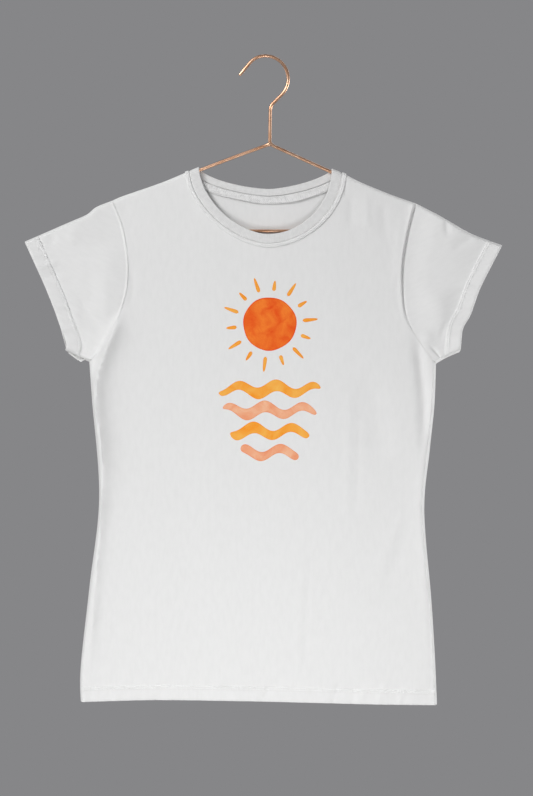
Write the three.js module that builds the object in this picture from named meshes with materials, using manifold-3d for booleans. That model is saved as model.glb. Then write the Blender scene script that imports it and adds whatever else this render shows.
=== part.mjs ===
// A women's fitted T-shirt in white cotton jersey, hung on a copper wire hanger.
// Millimetres, +Z up. The front of the shirt faces -Y, and +X is on the right
// when it is seen from the front. The origin is the point where a cord or a rail
// carries the hook: the underside of the wire near the top of its curl.

import * as THREE from 'three';
import { mergeVertices } from 'three/addons/utils/BufferGeometryUtils.js';
import Module from 'manifold-3d';

const wasm = await Module();
wasm.setup();

// ---- Driving dimensions of the hanger ----
const WIRE_RADIUS = 2;
const WIRE_SIDES = 8;
const WIRE_ARC_STEP = THREE.MathUtils.degToRad(15);
const HOOK_CENTRE = [-2.4, -26.4];
const HOOK_RADIUS = 28.4;
const HOOK_NOSE_RADIUS = 23.6;
const HOOK_NOSE_TURN = THREE.MathUtils.degToRad(40);
const HOOK_NOSE_START = THREE.MathUtils.degToRad(100);
const HOOK_TIP_LENGTH = 19;
const STEM_X = 3.8;
const STEM_TOP_BEND = 5;
const APEX_BEND = 6;
const APEX = [3.1, -107.7];
const BAR_Z = -215.5;
const ARM_ENDS = {
  left: { x: -206.5, radius: 12, bow: 2.2 },
  right: { x: 204.8, radius: 8, bow: 0 },
};

// ---- Driving dimensions of the shirt ----
const FABRIC_THICKNESS = 0.8;
const RIB_THICKNESS = 1.5;
const TAPE_THICKNESS = 0.6;
const SEAM_GAP = 0.3;

// The outline of each half: x outward from the hang point, z up.
const HALVES = {
  left: {
    sign: -1,
    shoulder: [[84.9, -136.6], [100.8, -143.2], [133, -156.4], [178, -172], [192, -178]],
    sleeveTop: [[192, -178], [212, -186], [224, -195.5], [248, -206], [300.2, -228.8]],
    cuff: [[300.2, -228.8], [277, -279], [262, -320], [250, -363.5]],
    underarm: [[250, -363.5], [236, -371], [220.5, -377.5]],
    armhole: [[192, -178], [179, -211], [172, -256], [176, -300], [197, -351], [220.5, -377.5]],
    side: [[220.5, -377.5], [217, -425], [208.1, -545], [220, -655], [231, -755], [231.1, -798]],
  },
  right: {
    sign: 1,
    shoulder: [[80.3, -138.6], [96.8, -145.6], [117.6, -156], [156, -171.6], [184, -181.3]],
    sleeveTop: [[184, -181.3], [210, -194.6], [229.5, -205.9], [255, -220], [290.4, -233.3]],
    cuff: [[290.4, -233.3], [264, -285], [251, -320], [241.5, -338], [238.5, -365.4]],
    underarm: [[238.5, -365.4], [222, -372.5], [209, -380]],
    armhole: [[184, -181.3], [173.5, -225], [167.8, -270], [172, -322], [192, -358.5], [209, -380]],
    side: [[209, -380], [204.5, -435], [194.5, -562], [203, -670], [207.5, -740], [210.2, -801.8]],
  },
};
const HEM_DIP = [[-135, -795.5], [0, -797.5], [118, -800.5]];

// Each quarter of the neckline is a superellipse that drops from its shoulder
// corner to the lowest point at the middle.
const NECKLINES = {
  frontInner: { bottom: [1, -219.8], left: 1.72, right: 1.95 },
  frontSeam: { bottom: [1, -235.3], left: 1.68, right: 1.85 },
  backInner: { bottom: [3, -163.2], left: 1.6, right: 1.47 },
  backSeam: { bottom: [3, -178.8], left: 1.6, right: 1.6 },
};
const TAPE_SPAN = { upper: 0.58, lower: 1.1, start: 0.2, end: 0.8 };

// How far the front and the back stand off the middle plane, and how far in
// from a fold the cloth takes to reach that depth.
const FOLD_REACH = 34;
const DEPTH_AT_NECK = 13;
const DEPTH_AT_HEM = 18;
const DEPTH_OF_SLEEVE = 10;
const NECK_LEVEL = -150;
const FULL_LEVEL = -450;
const SLEEVE_FROM = 170;
const SLEEVE_TO = 245;

// ---- Grid: steps along each edge, how fast an edge's bow fades away from it and
// how much the neckline's points crowd towards the shoulder corners ----
const ARMHOLE_STEPS = 12;
const SIDE_STEPS = 10;
const SHOULDER_STEPS = 6;
const NECK_STEPS = 10;
const SLEEVE_STEPS = 10;
const ARM_STEPS = 6;
const FOLD_SAMPLES = 16;
const SHOULDER_SAMPLES = 40;
const BEND_STEPS = 5;
const EDGE_PULL = 5;
const CORNER_CROWDING = 1.35;

const FRONT = -1;
const BACK = 1;

// ---- Materials ----
const COTTON = new THREE.MeshStandardMaterial({ color: '#e4e4e2', roughness: 0.92, metalness: 0 });
const SLEEVE_COTTON = COTTON.clone();
const RIB_COTTON = new THREE.MeshStandardMaterial({ color: '#dededc', roughness: 0.9, metalness: 0 });
const TAPE_COTTON = new THREE.MeshStandardMaterial({ color: '#d6d6d4', roughness: 0.9, metalness: 0 });
const COPPER = new THREE.MeshStandardMaterial({ color: '#d08a62', roughness: 0.28, metalness: 1 });

// ---- Curves of the shirt ----

// A smooth plane curve through an outline's points.
function outlineCurve(half, name) {
  const points = half[name].map(([x, z]) => new THREE.Vector2(half.sign * x, z));
  return new THREE.SplineCurve(points);
}

// One quarter of a neckline, from the shoulder corner to its lowest point.
function neckQuarter(corner, bottom, exponent, steps) {
  const points = [];
  for (let i = 0; i <= steps; i++) {
    const angle = (Math.PI / 2) * Math.pow(i / steps, CORNER_CROWDING);
    const across = Math.pow(Math.cos(angle), 2 / exponent);
    const down = Math.pow(Math.sin(angle), 2 / exponent);
    points.push(new THREE.Vector2(
      bottom[0] + (corner.x - bottom[0]) * (i === steps ? 0 : across),
      corner.y + (bottom[1] - corner.y) * down,
    ));
  }
  return points;
}

// A whole neckline from the left corner to the right one.
function neckline(shape, cornerIndex, steps) {
  const corners = {};
  for (const side of ['left', 'right']) {
    const [x, z] = HALVES[side].shoulder[cornerIndex];
    corners[side] = new THREE.Vector2(HALVES[side].sign * x, z);
  }
  const left = neckQuarter(corners.left, shape.bottom, shape.left, steps);
  const right = neckQuarter(corners.right, shape.bottom, shape.right, steps);
  return left.concat(right.reverse().slice(1));
}

// ---- Depth of the cloth ----

// The folded edges of the silhouette, as segments with their outward side.
function foldSegments() {
  const segments = [];
  for (const side of ['left', 'right']) {
    const half = HALVES[side];
    for (const name of ['shoulder', 'sleeveTop', 'underarm', 'side']) {
      const points = outlineCurve(half, name).getSpacedPoints(FOLD_SAMPLES);
      const upper = name === 'shoulder' || name === 'sleeveTop';
      const wayOut = upper ? new THREE.Vector2(0, 1) : new THREE.Vector2(half.sign, -1);
      for (let i = 0; i < points.length - 1; i++) {
        const along = points[i + 1].clone().sub(points[i]).normalize();
        const outward = new THREE.Vector2(-along.y, along.x);
        if (outward.dot(wayOut) < 0) outward.negate();
        segments.push({ start: points[i], end: points[i + 1], outward });
      }
    }
  }
  return segments;
}

const FOLDS = foldSegments();

// The distance from a point to the nearest folded edge and the way towards it.
function nearestFold(point) {
  let nearest = { distance: Infinity, outward: null };
  for (const { start, end, outward } of FOLDS) {
    const along = end.clone().sub(start);
    const t = THREE.MathUtils.clamp(point.clone().sub(start).dot(along) / along.lengthSq(), 0, 1);
    const toEdge = start.clone().addScaledVector(along, t).sub(point);
    const distance = toEdge.length();
    if (distance < nearest.distance) {
      nearest = { distance, outward: distance > 0.01 ? toEdge.divideScalar(distance) : outward };
    }
  }
  return nearest;
}

// The depth that the cloth reaches away from its folds.
function fullDepth(point) {
  const { smoothstep, lerp } = THREE.MathUtils;
  const body = lerp(DEPTH_AT_NECK, DEPTH_AT_HEM, smoothstep(-point.y, -NECK_LEVEL, -FULL_LEVEL));
  return lerp(body, DEPTH_OF_SLEEVE, smoothstep(Math.abs(point.x), SLEEVE_FROM, SLEEVE_TO));
}

// A point of the cloth: its place in the outline, the face it is on, the gap it
// keeps to the middle plane and how far it lies off the middle of the fabric.
function clothPoint(point, face, gap, offset) {
  const { distance, outward } = nearestFold(point);
  const inward = 1 - Math.min(distance, FOLD_REACH) / FOLD_REACH;
  const rise = Math.sqrt(1 - inward * inward);
  const depth = fullDepth(point);
  const slope = Math.atan2(depth * inward, FOLD_REACH * rise);
  return new THREE.Vector3(
    point.x + offset * Math.sin(slope) * outward.x,
    face * (gap + depth * rise + offset * Math.cos(slope)),
    point.y + offset * Math.sin(slope) * outward.y,
  );
}

// ---- Shells ----

// A closed shell between two matching grids of points, outer and inner. A ring
// joins its last column to the first.
function shellGeometry(outer, inner, isRing) {
  const rows = outer.length;
  const columns = outer[0].length;
  const positions = [];
  for (const grid of [outer, inner]) {
    for (const row of grid) {
      for (const p of row) positions.push(p.x, p.y, p.z);
    }
  }
  const vertex = (layer, r, c) => layer * rows * columns + r * columns + (c % columns);
  const faces = [];
  const quad = (a, b, c, d) => faces.push(a, b, c, a, c, d);
  const spans = isRing ? columns : columns - 1;
  for (let r = 0; r < rows - 1; r++) {
    for (let c = 0; c < spans; c++) {
      quad(vertex(0, r, c), vertex(0, r, c + 1), vertex(0, r + 1, c + 1), vertex(0, r + 1, c));
      quad(vertex(1, r, c), vertex(1, r + 1, c), vertex(1, r + 1, c + 1), vertex(1, r, c + 1));
    }
    if (!isRing) {
      quad(vertex(0, r, 0), vertex(0, r + 1, 0), vertex(1, r + 1, 0), vertex(1, r, 0));
      quad(vertex(0, r + 1, spans), vertex(0, r, spans), vertex(1, r, spans), vertex(1, r + 1, spans));
    }
  }
  const top = rows - 1;
  for (let c = 0; c < spans; c++) {
    quad(vertex(0, 0, c + 1), vertex(0, 0, c), vertex(1, 0, c), vertex(1, 0, c + 1));
    quad(vertex(0, top, c), vertex(0, top, c + 1), vertex(1, top, c + 1), vertex(1, top, c));
  }
  return facesOutward(positions, faces);
}

// Turns the faces round when they enclose a negative volume.
function facesOutward(positions, faces) {
  let volume = 0;
  const a = new THREE.Vector3();
  const b = new THREE.Vector3();
  const c = new THREE.Vector3();
  for (let i = 0; i < faces.length; i += 3) {
    a.fromArray(positions, faces[i] * 3);
    b.fromArray(positions, faces[i + 1] * 3);
    c.fromArray(positions, faces[i + 2] * 3);
    volume += a.dot(b.cross(c));
  }
  const geometry = new THREE.BufferGeometry();
  geometry.setAttribute('position', new THREE.Float32BufferAttribute(positions, 3));
  geometry.setIndex(volume < 0 ? faces.slice().reverse() : faces);
  geometry.computeVertexNormals();
  return geometry;
}

// A shell of even thickness about a grid of outline points.
function clothShell(grid, faceOf, gap, thickness, isRing) {
  const layer = (offset) => grid.map((row) => row.map(
    (point, column) => clothPoint(point, faceOf(column), gap, offset),
  ));
  return shellGeometry(layer(thickness / 2), layer(-thickness / 2), isRing);
}

function addMesh(group, name, geometry, material) {
  const mesh = new THREE.Mesh(geometry, material);
  mesh.name = name;
  group.add(mesh);
}

// ---- Body panels ----

// A grid between four edges: bottom and top run from left to right, and left and
// right run upwards, with their shares of the way given by u and v. Lines join
// bottom to top, and bend towards the left and right edges only near them.
function fillPatch(bottom, top, left, right, u, v) {
  const last = bottom.length - 1;
  const bow = (edge, j) => {
    const straight = edge[0].clone().lerp(edge[edge.length - 1], v[j]);
    return edge[j].clone().sub(straight);
  };
  const pointAt = (i, j) => {
    if (i === 0) return left[j];
    if (i === last) return right[j];
    return bottom[i]
      .clone()
      .lerp(top[i], v[j])
      .addScaledVector(bow(left, j), Math.pow(1 - u[i], EDGE_PULL))
      .addScaledVector(bow(right, j), Math.pow(u[i], EDGE_PULL));
  };
  return left.map((_, j) => bottom.map((__, i) => pointAt(i, j)));
}

// Points along a curve, crowded towards its start, its end or both.
function crowded(curve, steps, atStart, atEnd) {
  const share = (t) => {
    if (atStart && atEnd) return (1 - Math.cos(Math.PI * t)) / 2;
    if (atStart) return 1 - Math.cos((Math.PI / 2) * t);
    return atEnd ? Math.sin((Math.PI / 2) * t) : t;
  };
  return Array.from({ length: steps + 1 }, (_, i) => curve.getPointAt(share(i / steps)));
}

// The shares of the whole way at which points follow each other.
function shares(points) {
  const lengths = [0];
  for (let i = 1; i < points.length; i++) {
    lengths.push(lengths[i - 1] + points[i].distanceTo(points[i - 1]));
  }
  return lengths.map((length) => length / lengths[lengths.length - 1]);
}

function meanShares(a, b) {
  const second = shares(b);
  return shares(a).map((share, i) => (share + second[i]) / 2);
}

// Moves an armhole's points off the seam, square to it.
function offSeam(points, distance) {
  return points.map((point, i) => {
    const before = points[Math.max(i - 1, 0)];
    const after = points[Math.min(i + 1, points.length - 1)];
    const along = after.clone().sub(before).normalize();
    return point.clone().add(new THREE.Vector2(-along.y, along.x).multiplyScalar(distance));
  });
}

// The armhole from the shoulder down to the armpit.
function armholePoints(half, distance) {
  const points = crowded(outlineCurve(half, 'armhole'), ARMHOLE_STEPS, true, true);
  return offSeam(points, distance * half.sign);
}

// The edge of a panel from the hem up the side seam and round the armhole.
function sideEdge(half) {
  const side = crowded(outlineCurve(half, 'side'), SIDE_STEPS, false, false).reverse();
  const armhole = armholePoints(half, -SEAM_GAP).reverse();
  return side.slice(0, -1).concat(armhole);
}

// The upper edge of a panel: shoulder, neckline and shoulder.
function topEdge(innerShape, seamShape, leftTip, rightTip) {
  const inner = neckline(innerShape, 0, NECK_STEPS);
  const seam = neckline(seamShape, 1, NECK_STEPS);
  const neck = seam.map((point, i) => {
    const away = point.clone().sub(inner[i]).normalize();
    return point.clone().addScaledVector(away, SEAM_GAP);
  });
  const shoulder = (half, corner, tip) => {
    const points = outlineCurve(half, 'shoulder').getSpacedPoints(SHOULDER_SAMPLES);
    const fromCorner = points.filter((p) => Math.abs(p.x) > Math.abs(corner.x));
    const curve = new THREE.SplineCurve([corner, ...fromCorner.slice(1, -1), tip]);
    return crowded(curve, SHOULDER_STEPS, true, true);
  };
  const left = shoulder(HALVES.left, neck[0], leftTip).reverse();
  const right = shoulder(HALVES.right, neck[neck.length - 1], rightTip);
  return left.slice(0, -1).concat(neck, right.slice(1));
}

function buildPanel(face, innerShape, seamShape) {
  const left = sideEdge(HALVES.left);
  const right = sideEdge(HALVES.right);
  const top = topEdge(innerShape, seamShape, left[left.length - 1], right[right.length - 1]);
  const hem = new THREE.SplineCurve([
    left[0], ...HEM_DIP.map(([x, z]) => new THREE.Vector2(x, z)), right[0],
  ]);
  const bottom = crowded(hem, top.length - 1, true, true);
  const grid = fillPatch(bottom, top, left, right, meanShares(bottom, top), meanShares(left, right));
  return clothShell(grid, () => face, SEAM_GAP, FABRIC_THICKNESS, false);
}

// ---- Sleeves ----

// A sleeve is a flattened tube from the armhole to the cuff. Its ring of points
// goes down the front and up the back.
function sleeveGeometry(half) {
  const armhole = armholePoints(half, SEAM_GAP);
  const cuff = crowded(outlineCurve(half, 'cuff'), ARMHOLE_STEPS, true, true);
  const ridge = crowded(outlineCurve(half, 'sleeveTop'), SLEEVE_STEPS, true, false);
  const under = crowded(outlineCurve(half, 'underarm'), SLEEVE_STEPS, false, true).reverse();
  ridge[0] = armhole[0];
  under[0] = armhole[ARMHOLE_STEPS];
  const rows = fillPatch(armhole, cuff, ridge, under, meanShares(armhole, cuff), shares(ridge));
  const ring = rows.map((row) => row.concat(row.slice(1, -1).reverse()));
  const faceOf = (column) => (column <= ARMHOLE_STEPS ? FRONT : BACK);
  return clothShell(ring, faceOf, 0, FABRIC_THICKNESS, true);
}

// ---- Neck ----

// The ribbed band: a ring down the front neckline and back up behind it.
function ribGeometry() {
  const halfRing = (innerShape, seamShape) => {
    const inner = neckline(innerShape, 0, NECK_STEPS);
    const seam = neckline(seamShape, 1, NECK_STEPS);
    return [0, 0.5, 1].map((w) => inner.map((point, i) => point.clone().lerp(seam[i], w)));
  };
  const front = halfRing(NECKLINES.frontInner, NECKLINES.frontSeam);
  const back = halfRing(NECKLINES.backInner, NECKLINES.backSeam);
  const ring = front.map((row, r) => row.concat(back[r].slice(1, -1).reverse()));
  const faceOf = (column) => (column < front[0].length ? FRONT : BACK);
  return clothShell(ring, faceOf, 0, RIB_THICKNESS, true);
}

// The tape that covers the seam inside the back of the neck.
function tapeGeometry() {
  const inner = neckline(NECKLINES.backInner, 0, NECK_STEPS);
  const seam = neckline(NECKLINES.backSeam, 1, NECK_STEPS);
  const first = Math.round(TAPE_SPAN.start * (inner.length - 1));
  const last = Math.round(TAPE_SPAN.end * (inner.length - 1));
  const row = (w) => inner.slice(first, last + 1).map(
    (point, i) => point.clone().lerp(seam[first + i], w),
  );
  const inset = -(RIB_THICKNESS + TAPE_THICKNESS) / 2 - SEAM_GAP;
  const rows = [row(TAPE_SPAN.upper), row(TAPE_SPAN.lower)];
  return clothShell(rows, () => BACK, inset, TAPE_THICKNESS, false);
}

// ---- Hanger ----

// Points of an arc in the plane of the hanger, both ends included.
function arcPoints(centre, radius, from, to) {
  const steps = Math.max(2, Math.ceil(Math.abs(to - from) / WIRE_ARC_STEP));
  return Array.from({ length: steps + 1 }, (_, i) => {
    const angle = from + ((to - from) * i) / steps;
    return new THREE.Vector2(
      centre[0] + radius * Math.cos(angle),
      centre[1] + radius * Math.sin(angle),
    );
  });
}

// A rounded bend between two straight runs of wire that meet at a corner.
function bend(before, corner, after, setback) {
  const start = corner.clone().add(before.clone().sub(corner).setLength(setback));
  const end = corner.clone().add(after.clone().sub(corner).setLength(setback));
  return new THREE.QuadraticBezierCurve(start, corner, end).getPoints(BEND_STEPS);
}

// A round bar swept along points of the XZ plane.
function wireGeometry(points) {
  const positions = [];
  points.forEach((point, i) => {
    const before = points[Math.max(i - 1, 0)];
    const after = points[Math.min(i + 1, points.length - 1)];
    const along = after.clone().sub(before).normalize();
    for (let k = 0; k < WIRE_SIDES; k++) {
      const angle = ((k + 0.5) / WIRE_SIDES) * 2 * Math.PI;
      const inPlane = WIRE_RADIUS * Math.cos(angle);
      positions.push(
        point.x - inPlane * along.y,
        WIRE_RADIUS * Math.sin(angle),
        point.y + inPlane * along.x,
      );
    }
  });
  const faces = [];
  const vertex = (ring, k) => ring * WIRE_SIDES + (k % WIRE_SIDES);
  const lastRing = points.length - 1;
  for (let ring = 0; ring < lastRing; ring++) {
    for (let k = 0; k < WIRE_SIDES; k++) {
      faces.push(vertex(ring, k), vertex(ring + 1, k + 1), vertex(ring + 1, k));
      faces.push(vertex(ring, k), vertex(ring, k + 1), vertex(ring + 1, k + 1));
    }
  }
  for (let k = 1; k < WIRE_SIDES - 1; k++) {
    faces.push(vertex(0, 0), vertex(0, k + 1), vertex(0, k));
    faces.push(vertex(lastRing, 0), vertex(lastRing, k), vertex(lastRing, k + 1));
  }
  return facesOutward(positions, faces);
}

// The hook from its free tip over the curl and down the stem to the apex.
function hookPoints() {
  const noseEnd = HOOK_NOSE_START + HOOK_NOSE_TURN;
  const offset = HOOK_RADIUS - HOOK_NOSE_RADIUS;
  const noseCentre = [
    HOOK_CENTRE[0] + offset * Math.cos(HOOK_NOSE_START),
    HOOK_CENTRE[1] + offset * Math.sin(HOOK_NOSE_START),
  ];
  const nose = arcPoints(noseCentre, HOOK_NOSE_RADIUS, noseEnd, HOOK_NOSE_START);
  const tip = nose[0].clone().add(
    new THREE.Vector2(-Math.sin(noseEnd), Math.cos(noseEnd)).multiplyScalar(HOOK_TIP_LENGTH),
  );
  const curl = arcPoints(HOOK_CENTRE, HOOK_RADIUS, HOOK_NOSE_START, -Math.PI / 4);
  const leave = curl[curl.length - 1];
  const stemTop = new THREE.Vector2(STEM_X, leave.y - (leave.x - STEM_X));
  const apex = new THREE.Vector2(...APEX);
  return [tip, ...nose, ...curl.slice(1), ...bend(leave, stemTop, apex, STEM_TOP_BEND)];
}

// The way an arm leaves the apex to touch the bend at its outer end.
function armTangent(end) {
  const centre = new THREE.Vector2(end.x, BAR_Z + end.radius);
  const toCentre = centre.clone().sub(new THREE.Vector2(...APEX));
  const lift = Math.asin(end.radius / toCentre.length());
  const outward = Math.sign(end.x);
  const angle = Math.atan2(toCentre.y, Math.abs(toCentre.x)) + lift;
  const upright = Math.PI / 2 + angle;
  return { centre, outward, upright };
}

// An arm from next to the apex to the bend at its end, and on round to the bar.
// The arm bows up a little between the two.
function armPoints(end) {
  const { centre, outward, upright } = armTangent(end);
  const bendPoints = arcPoints([0, 0], end.radius, upright, -Math.PI / 2).map(
    (p) => new THREE.Vector2(centre.x + outward * p.x, centre.y + p.y),
  );
  const apex = new THREE.Vector2(...APEX);
  const arm = [];
  for (let i = 1; i < ARM_STEPS; i++) {
    const t = i / ARM_STEPS;
    const point = apex.clone().lerp(bendPoints[0], t);
    point.y += end.bow * 4 * t * (1 - t);
    arm.push(point);
  }
  return [...arm, ...bendPoints];
}

// One wire makes hook, stem, right arm and bar, and the end of the left arm is
// welded against the foot of the stem.
function hangerGeometry() {
  const apex = new THREE.Vector2(...APEX);
  const hook = hookPoints();
  const rightArm = armPoints(ARM_ENDS.right);
  const leftArm = armPoints(ARM_ENDS.left);
  const stemFoot = bend(hook[hook.length - 1], apex, rightArm[0], APEX_BEND);
  const barMiddle = (overlap) => new THREE.Vector2(APEX[0] + overlap, BAR_Z);
  const right = wireGeometry([...hook, ...stemFoot, ...rightArm, barMiddle(-1)]);
  const left = wireGeometry([apex, ...leftArm, barMiddle(1)]);
  return fromSolid(toSolid(right).add(toSolid(left)));
}

function toSolid(geometry) {
  const plain = geometry.clone();
  plain.deleteAttribute('normal');
  const merged = mergeVertices(plain);
  return new wasm.Manifold(new wasm.Mesh({
    numProp: 3,
    vertProperties: new Float32Array(merged.attributes.position.array),
    triVerts: new Uint32Array(merged.index.array),
  }));
}

function fromSolid(solid) {
  const mesh = solid.getMesh();
  const geometry = new THREE.BufferGeometry();
  geometry.setAttribute('position', new THREE.BufferAttribute(mesh.vertProperties, 3));
  geometry.setIndex(new THREE.BufferAttribute(mesh.triVerts, 1));
  geometry.computeVertexNormals();
  return geometry;
}

// ---- The whole object ----

const group = new THREE.Group();
addMesh(group, 'hanger', hangerGeometry(), COPPER);
addMesh(group, 'front_panel', buildPanel(FRONT, NECKLINES.frontInner, NECKLINES.frontSeam), COTTON);
addMesh(group, 'back_panel', buildPanel(BACK, NECKLINES.backInner, NECKLINES.backSeam), COTTON);
addMesh(group, 'left_sleeve', sleeveGeometry(HALVES.left), SLEEVE_COTTON);
addMesh(group, 'right_sleeve', sleeveGeometry(HALVES.right), SLEEVE_COTTON);
addMesh(group, 'neck_rib', ribGeometry(), RIB_COTTON);
addMesh(group, 'neck_tape', tapeGeometry(), TAPE_COTTON);

export default group;
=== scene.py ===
"""A women's fitted T-shirt in white cotton jersey, hung on a copper wire hanger.

Sizes are in millimetres and become metres when a mesh is made. X points to the right of the
shirt's front, Y backwards and Z up, and the origin is where the hook is carried.
"""

import logging
import math
from dataclasses import dataclass, field
from enum import Enum

import bpy
import numpy as np
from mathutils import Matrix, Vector


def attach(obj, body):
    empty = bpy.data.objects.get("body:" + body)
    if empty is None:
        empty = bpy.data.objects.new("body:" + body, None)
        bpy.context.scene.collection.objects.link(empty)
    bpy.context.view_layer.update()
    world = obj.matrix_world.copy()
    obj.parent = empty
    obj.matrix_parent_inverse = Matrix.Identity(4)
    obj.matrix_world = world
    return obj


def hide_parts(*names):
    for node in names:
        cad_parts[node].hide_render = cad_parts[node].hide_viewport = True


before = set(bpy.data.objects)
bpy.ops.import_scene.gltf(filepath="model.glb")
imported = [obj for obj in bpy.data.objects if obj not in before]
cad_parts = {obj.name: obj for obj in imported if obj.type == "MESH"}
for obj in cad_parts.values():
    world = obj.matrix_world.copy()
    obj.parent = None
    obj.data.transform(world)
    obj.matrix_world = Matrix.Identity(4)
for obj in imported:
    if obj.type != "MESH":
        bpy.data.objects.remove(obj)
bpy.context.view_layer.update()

MM = 0.001
# The least divisors, of a length and of its square, where a length may be zero.
TINY = 1e-6
TINY_SQUARE = 1e-12
# How many points are measured at a time against all segments of a line.
CHUNK = 4000
JERSEY_THICKNESS = 0.7
# An edge of cloth that turns by more than this is shaded as a cut edge.
CUT_EDGE = math.radians(55)
BODY = "root"
log = logging.getLogger("shirt")


class Face(Enum):
    """The side of the shirt that a piece of cloth belongs to, by the sign of its Y."""

    FRONT = -1
    BACK = 1


# ---------------------------------------------------------------- plane curves


def smoothstep(x: np.ndarray | float, low: float, high: float) -> np.ndarray:
    """A smooth rise from 0 at low to 1 at high."""
    t = np.clip((np.asarray(x, float) - low) / (high - low), 0, 1)
    return t * t * (3 - 2 * t)


def bell(x: np.ndarray, width: float | np.ndarray) -> np.ndarray:
    """A bell curve of height 1 about 0."""
    return np.exp(-((x / width) ** 2))


@dataclass
class Nearest:
    """What nearest_on finds for each point."""

    distance: np.ndarray
    towards: np.ndarray
    segment: np.ndarray
    share: np.ndarray
    side: np.ndarray


def nearest_on(points: np.ndarray, segments: np.ndarray) -> Nearest:
    """Finds the place on a row of segments that is nearest to each point.

    Args:
        points: plane points, one a row.
        segments: the start and the end of each segment.
    Returns:
        The distance, the vector to that place, the segment's number, the share of the way along
        all of them, and 1 where the point is on the left of the line, -1 where on the right.
    """
    starts = segments[:, 0]
    along = segments[:, 1] - starts
    size = np.maximum((along**2).sum(1), TINY_SQUARE)
    found = []
    for chunk in np.array_split(points, max(1, len(points) // CHUNK)):
        away = chunk[:, None] - starts[None]
        t = np.clip((away * along[None]).sum(2) / size, 0, 1)
        towards = t[..., None] * along[None] - away
        i = (towards**2).sum(2).argmin(1)
        rows = np.arange(len(chunk))
        nearest = towards[rows, i]
        turn = along[i, 0] * away[rows, i, 1] - along[i, 1] * away[rows, i, 0]
        share = (i + t[rows, i]) / len(starts)
        side = np.where(turn > 0, 1.0, -1.0)
        found.append((np.linalg.norm(nearest, axis=1), nearest, i, share, side))
    return Nearest(*(np.concatenate(parts) for parts in zip(*found)))


def pairs(line: np.ndarray) -> np.ndarray:
    """A polyline's segments."""
    return np.stack([line[:-1], line[1:]], axis=1)


def end_fade(share: np.ndarray, fade: tuple[float, float]) -> np.ndarray:
    """1 along a way, falling to 0 over these shares of it at either end."""
    return smoothstep(share, 0, fade[0]) * smoothstep(1 - share, 0, fade[1])


def unit(vectors: np.ndarray) -> np.ndarray:
    """The same directions at length 1."""
    return vectors / np.linalg.norm(vectors, axis=-1, keepdims=True)


def left_of(line: np.ndarray) -> np.ndarray:
    """The unit vectors to the left of a line at each of its points."""
    along = unit(np.gradient(line, axis=0))
    return np.stack([-along[:, 1], along[:, 0]], axis=1)


class PlaneCurve:
    """A curve in the XZ plane that is read by the way along it."""

    SAMPLES = 16

    def __init__(self, dense: np.ndarray) -> None:
        """Keeps the curve's points and the way along it."""
        self.dense = np.asarray(dense, float)
        steps = np.linalg.norm(np.diff(self.dense, axis=0), axis=1)
        self.way = np.concatenate([[0.0], np.cumsum(steps)])
        self.length = float(self.way[-1])

    @classmethod
    def through(cls, points: list[tuple[float, float]]) -> "PlaneCurve":
        """A smooth curve through an outline's points."""
        p = np.asarray(points, float)
        before = np.vstack([p[:1], p[:-2]])
        after = np.vstack([p[2:], p[-1:]])
        t = np.linspace(0, 1, cls.SAMPLES, endpoint=False)[:, None]
        spans = []
        for p0, p1, p2, p3 in zip(before, p[:-1], p[1:], after):
            v0, v1 = (p2 - p0) / 2, (p3 - p1) / 2
            cube = 2 * p1 - 2 * p2 + v0 + v1
            square = -3 * p1 + 3 * p2 - 2 * v0 - v1
            spans.append(cube * t**3 + square * t**2 + v0 * t + p1)
        return cls(np.vstack([*spans, p[-1:]]))

    def after(self, distances: float | np.ndarray) -> np.ndarray:
        """The points at these distances from the start."""
        way = np.asarray(distances, float)
        return np.stack([np.interp(way, self.way, self.dense[:, k]) for k in (0, 1)], axis=-1)

    def even(self, count: int) -> np.ndarray:
        """So many points at even distances, both ends included."""
        return self.after(np.linspace(0, self.length, count))

    def reach(self, points: np.ndarray) -> np.ndarray:
        """The distances from the start to what is nearest to these points."""
        share = nearest_on(points, self.segments()).share
        return np.interp(share, np.linspace(0, 1, len(self.way)), self.way)

    def segments(self) -> np.ndarray:
        """The curve's own segments."""
        return pairs(self.dense)

    def backwards(self) -> "PlaneCurve":
        """The same curve from its other end."""
        return PlaneCurve(self.dense[::-1])


def fold_spacing(reach: float, steps: int) -> np.ndarray:
    """Distances from a folded edge that turn by even angles round the fold, from 0 to reach."""
    return reach * (1 - np.cos(np.linspace(0, math.pi / 2, steps + 1)))


def spread(length: float, start: np.ndarray, end: np.ndarray, steps: int) -> np.ndarray:
    """Distances along a way that is finely divided near its ends.

    Args:
        length: the whole way.
        start: distances from the start, rising from 0.
        end: distances from the end, rising from 0.
        steps: how many even steps lie between the two.
    Returns:
        Distances from 0 to the length.
    """
    middle = np.linspace(start[-1], length - end[-1], steps + 1)[1:-1]
    return np.concatenate([start, middle, length - end[::-1]])


def chord_shares(line: np.ndarray) -> np.ndarray:
    """The shares of the way at which a line's points follow each other."""
    way = np.concatenate([[0], np.cumsum(np.linalg.norm(np.diff(line, axis=0), axis=1))])
    return way / way[-1]


def parallel(line: np.ndarray, normals: np.ndarray, distance: float, ends: tuple) -> np.ndarray:
    """A line moved along its normals, with its ends pinned.

    Args:
        line: the line's points.
        normals: the way to move each point.
        distance: how far to move it.
        ends: where the first and the last point have to be.
    Returns:
        The moved line.
    """
    sharpness = 4
    u = chord_shares(line)[:, None]
    moved = line + normals * distance
    first, last = ends[0] - moved[0], ends[1] - moved[-1]
    return moved + first * (1 - u) ** sharpness + last * u**sharpness


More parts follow.
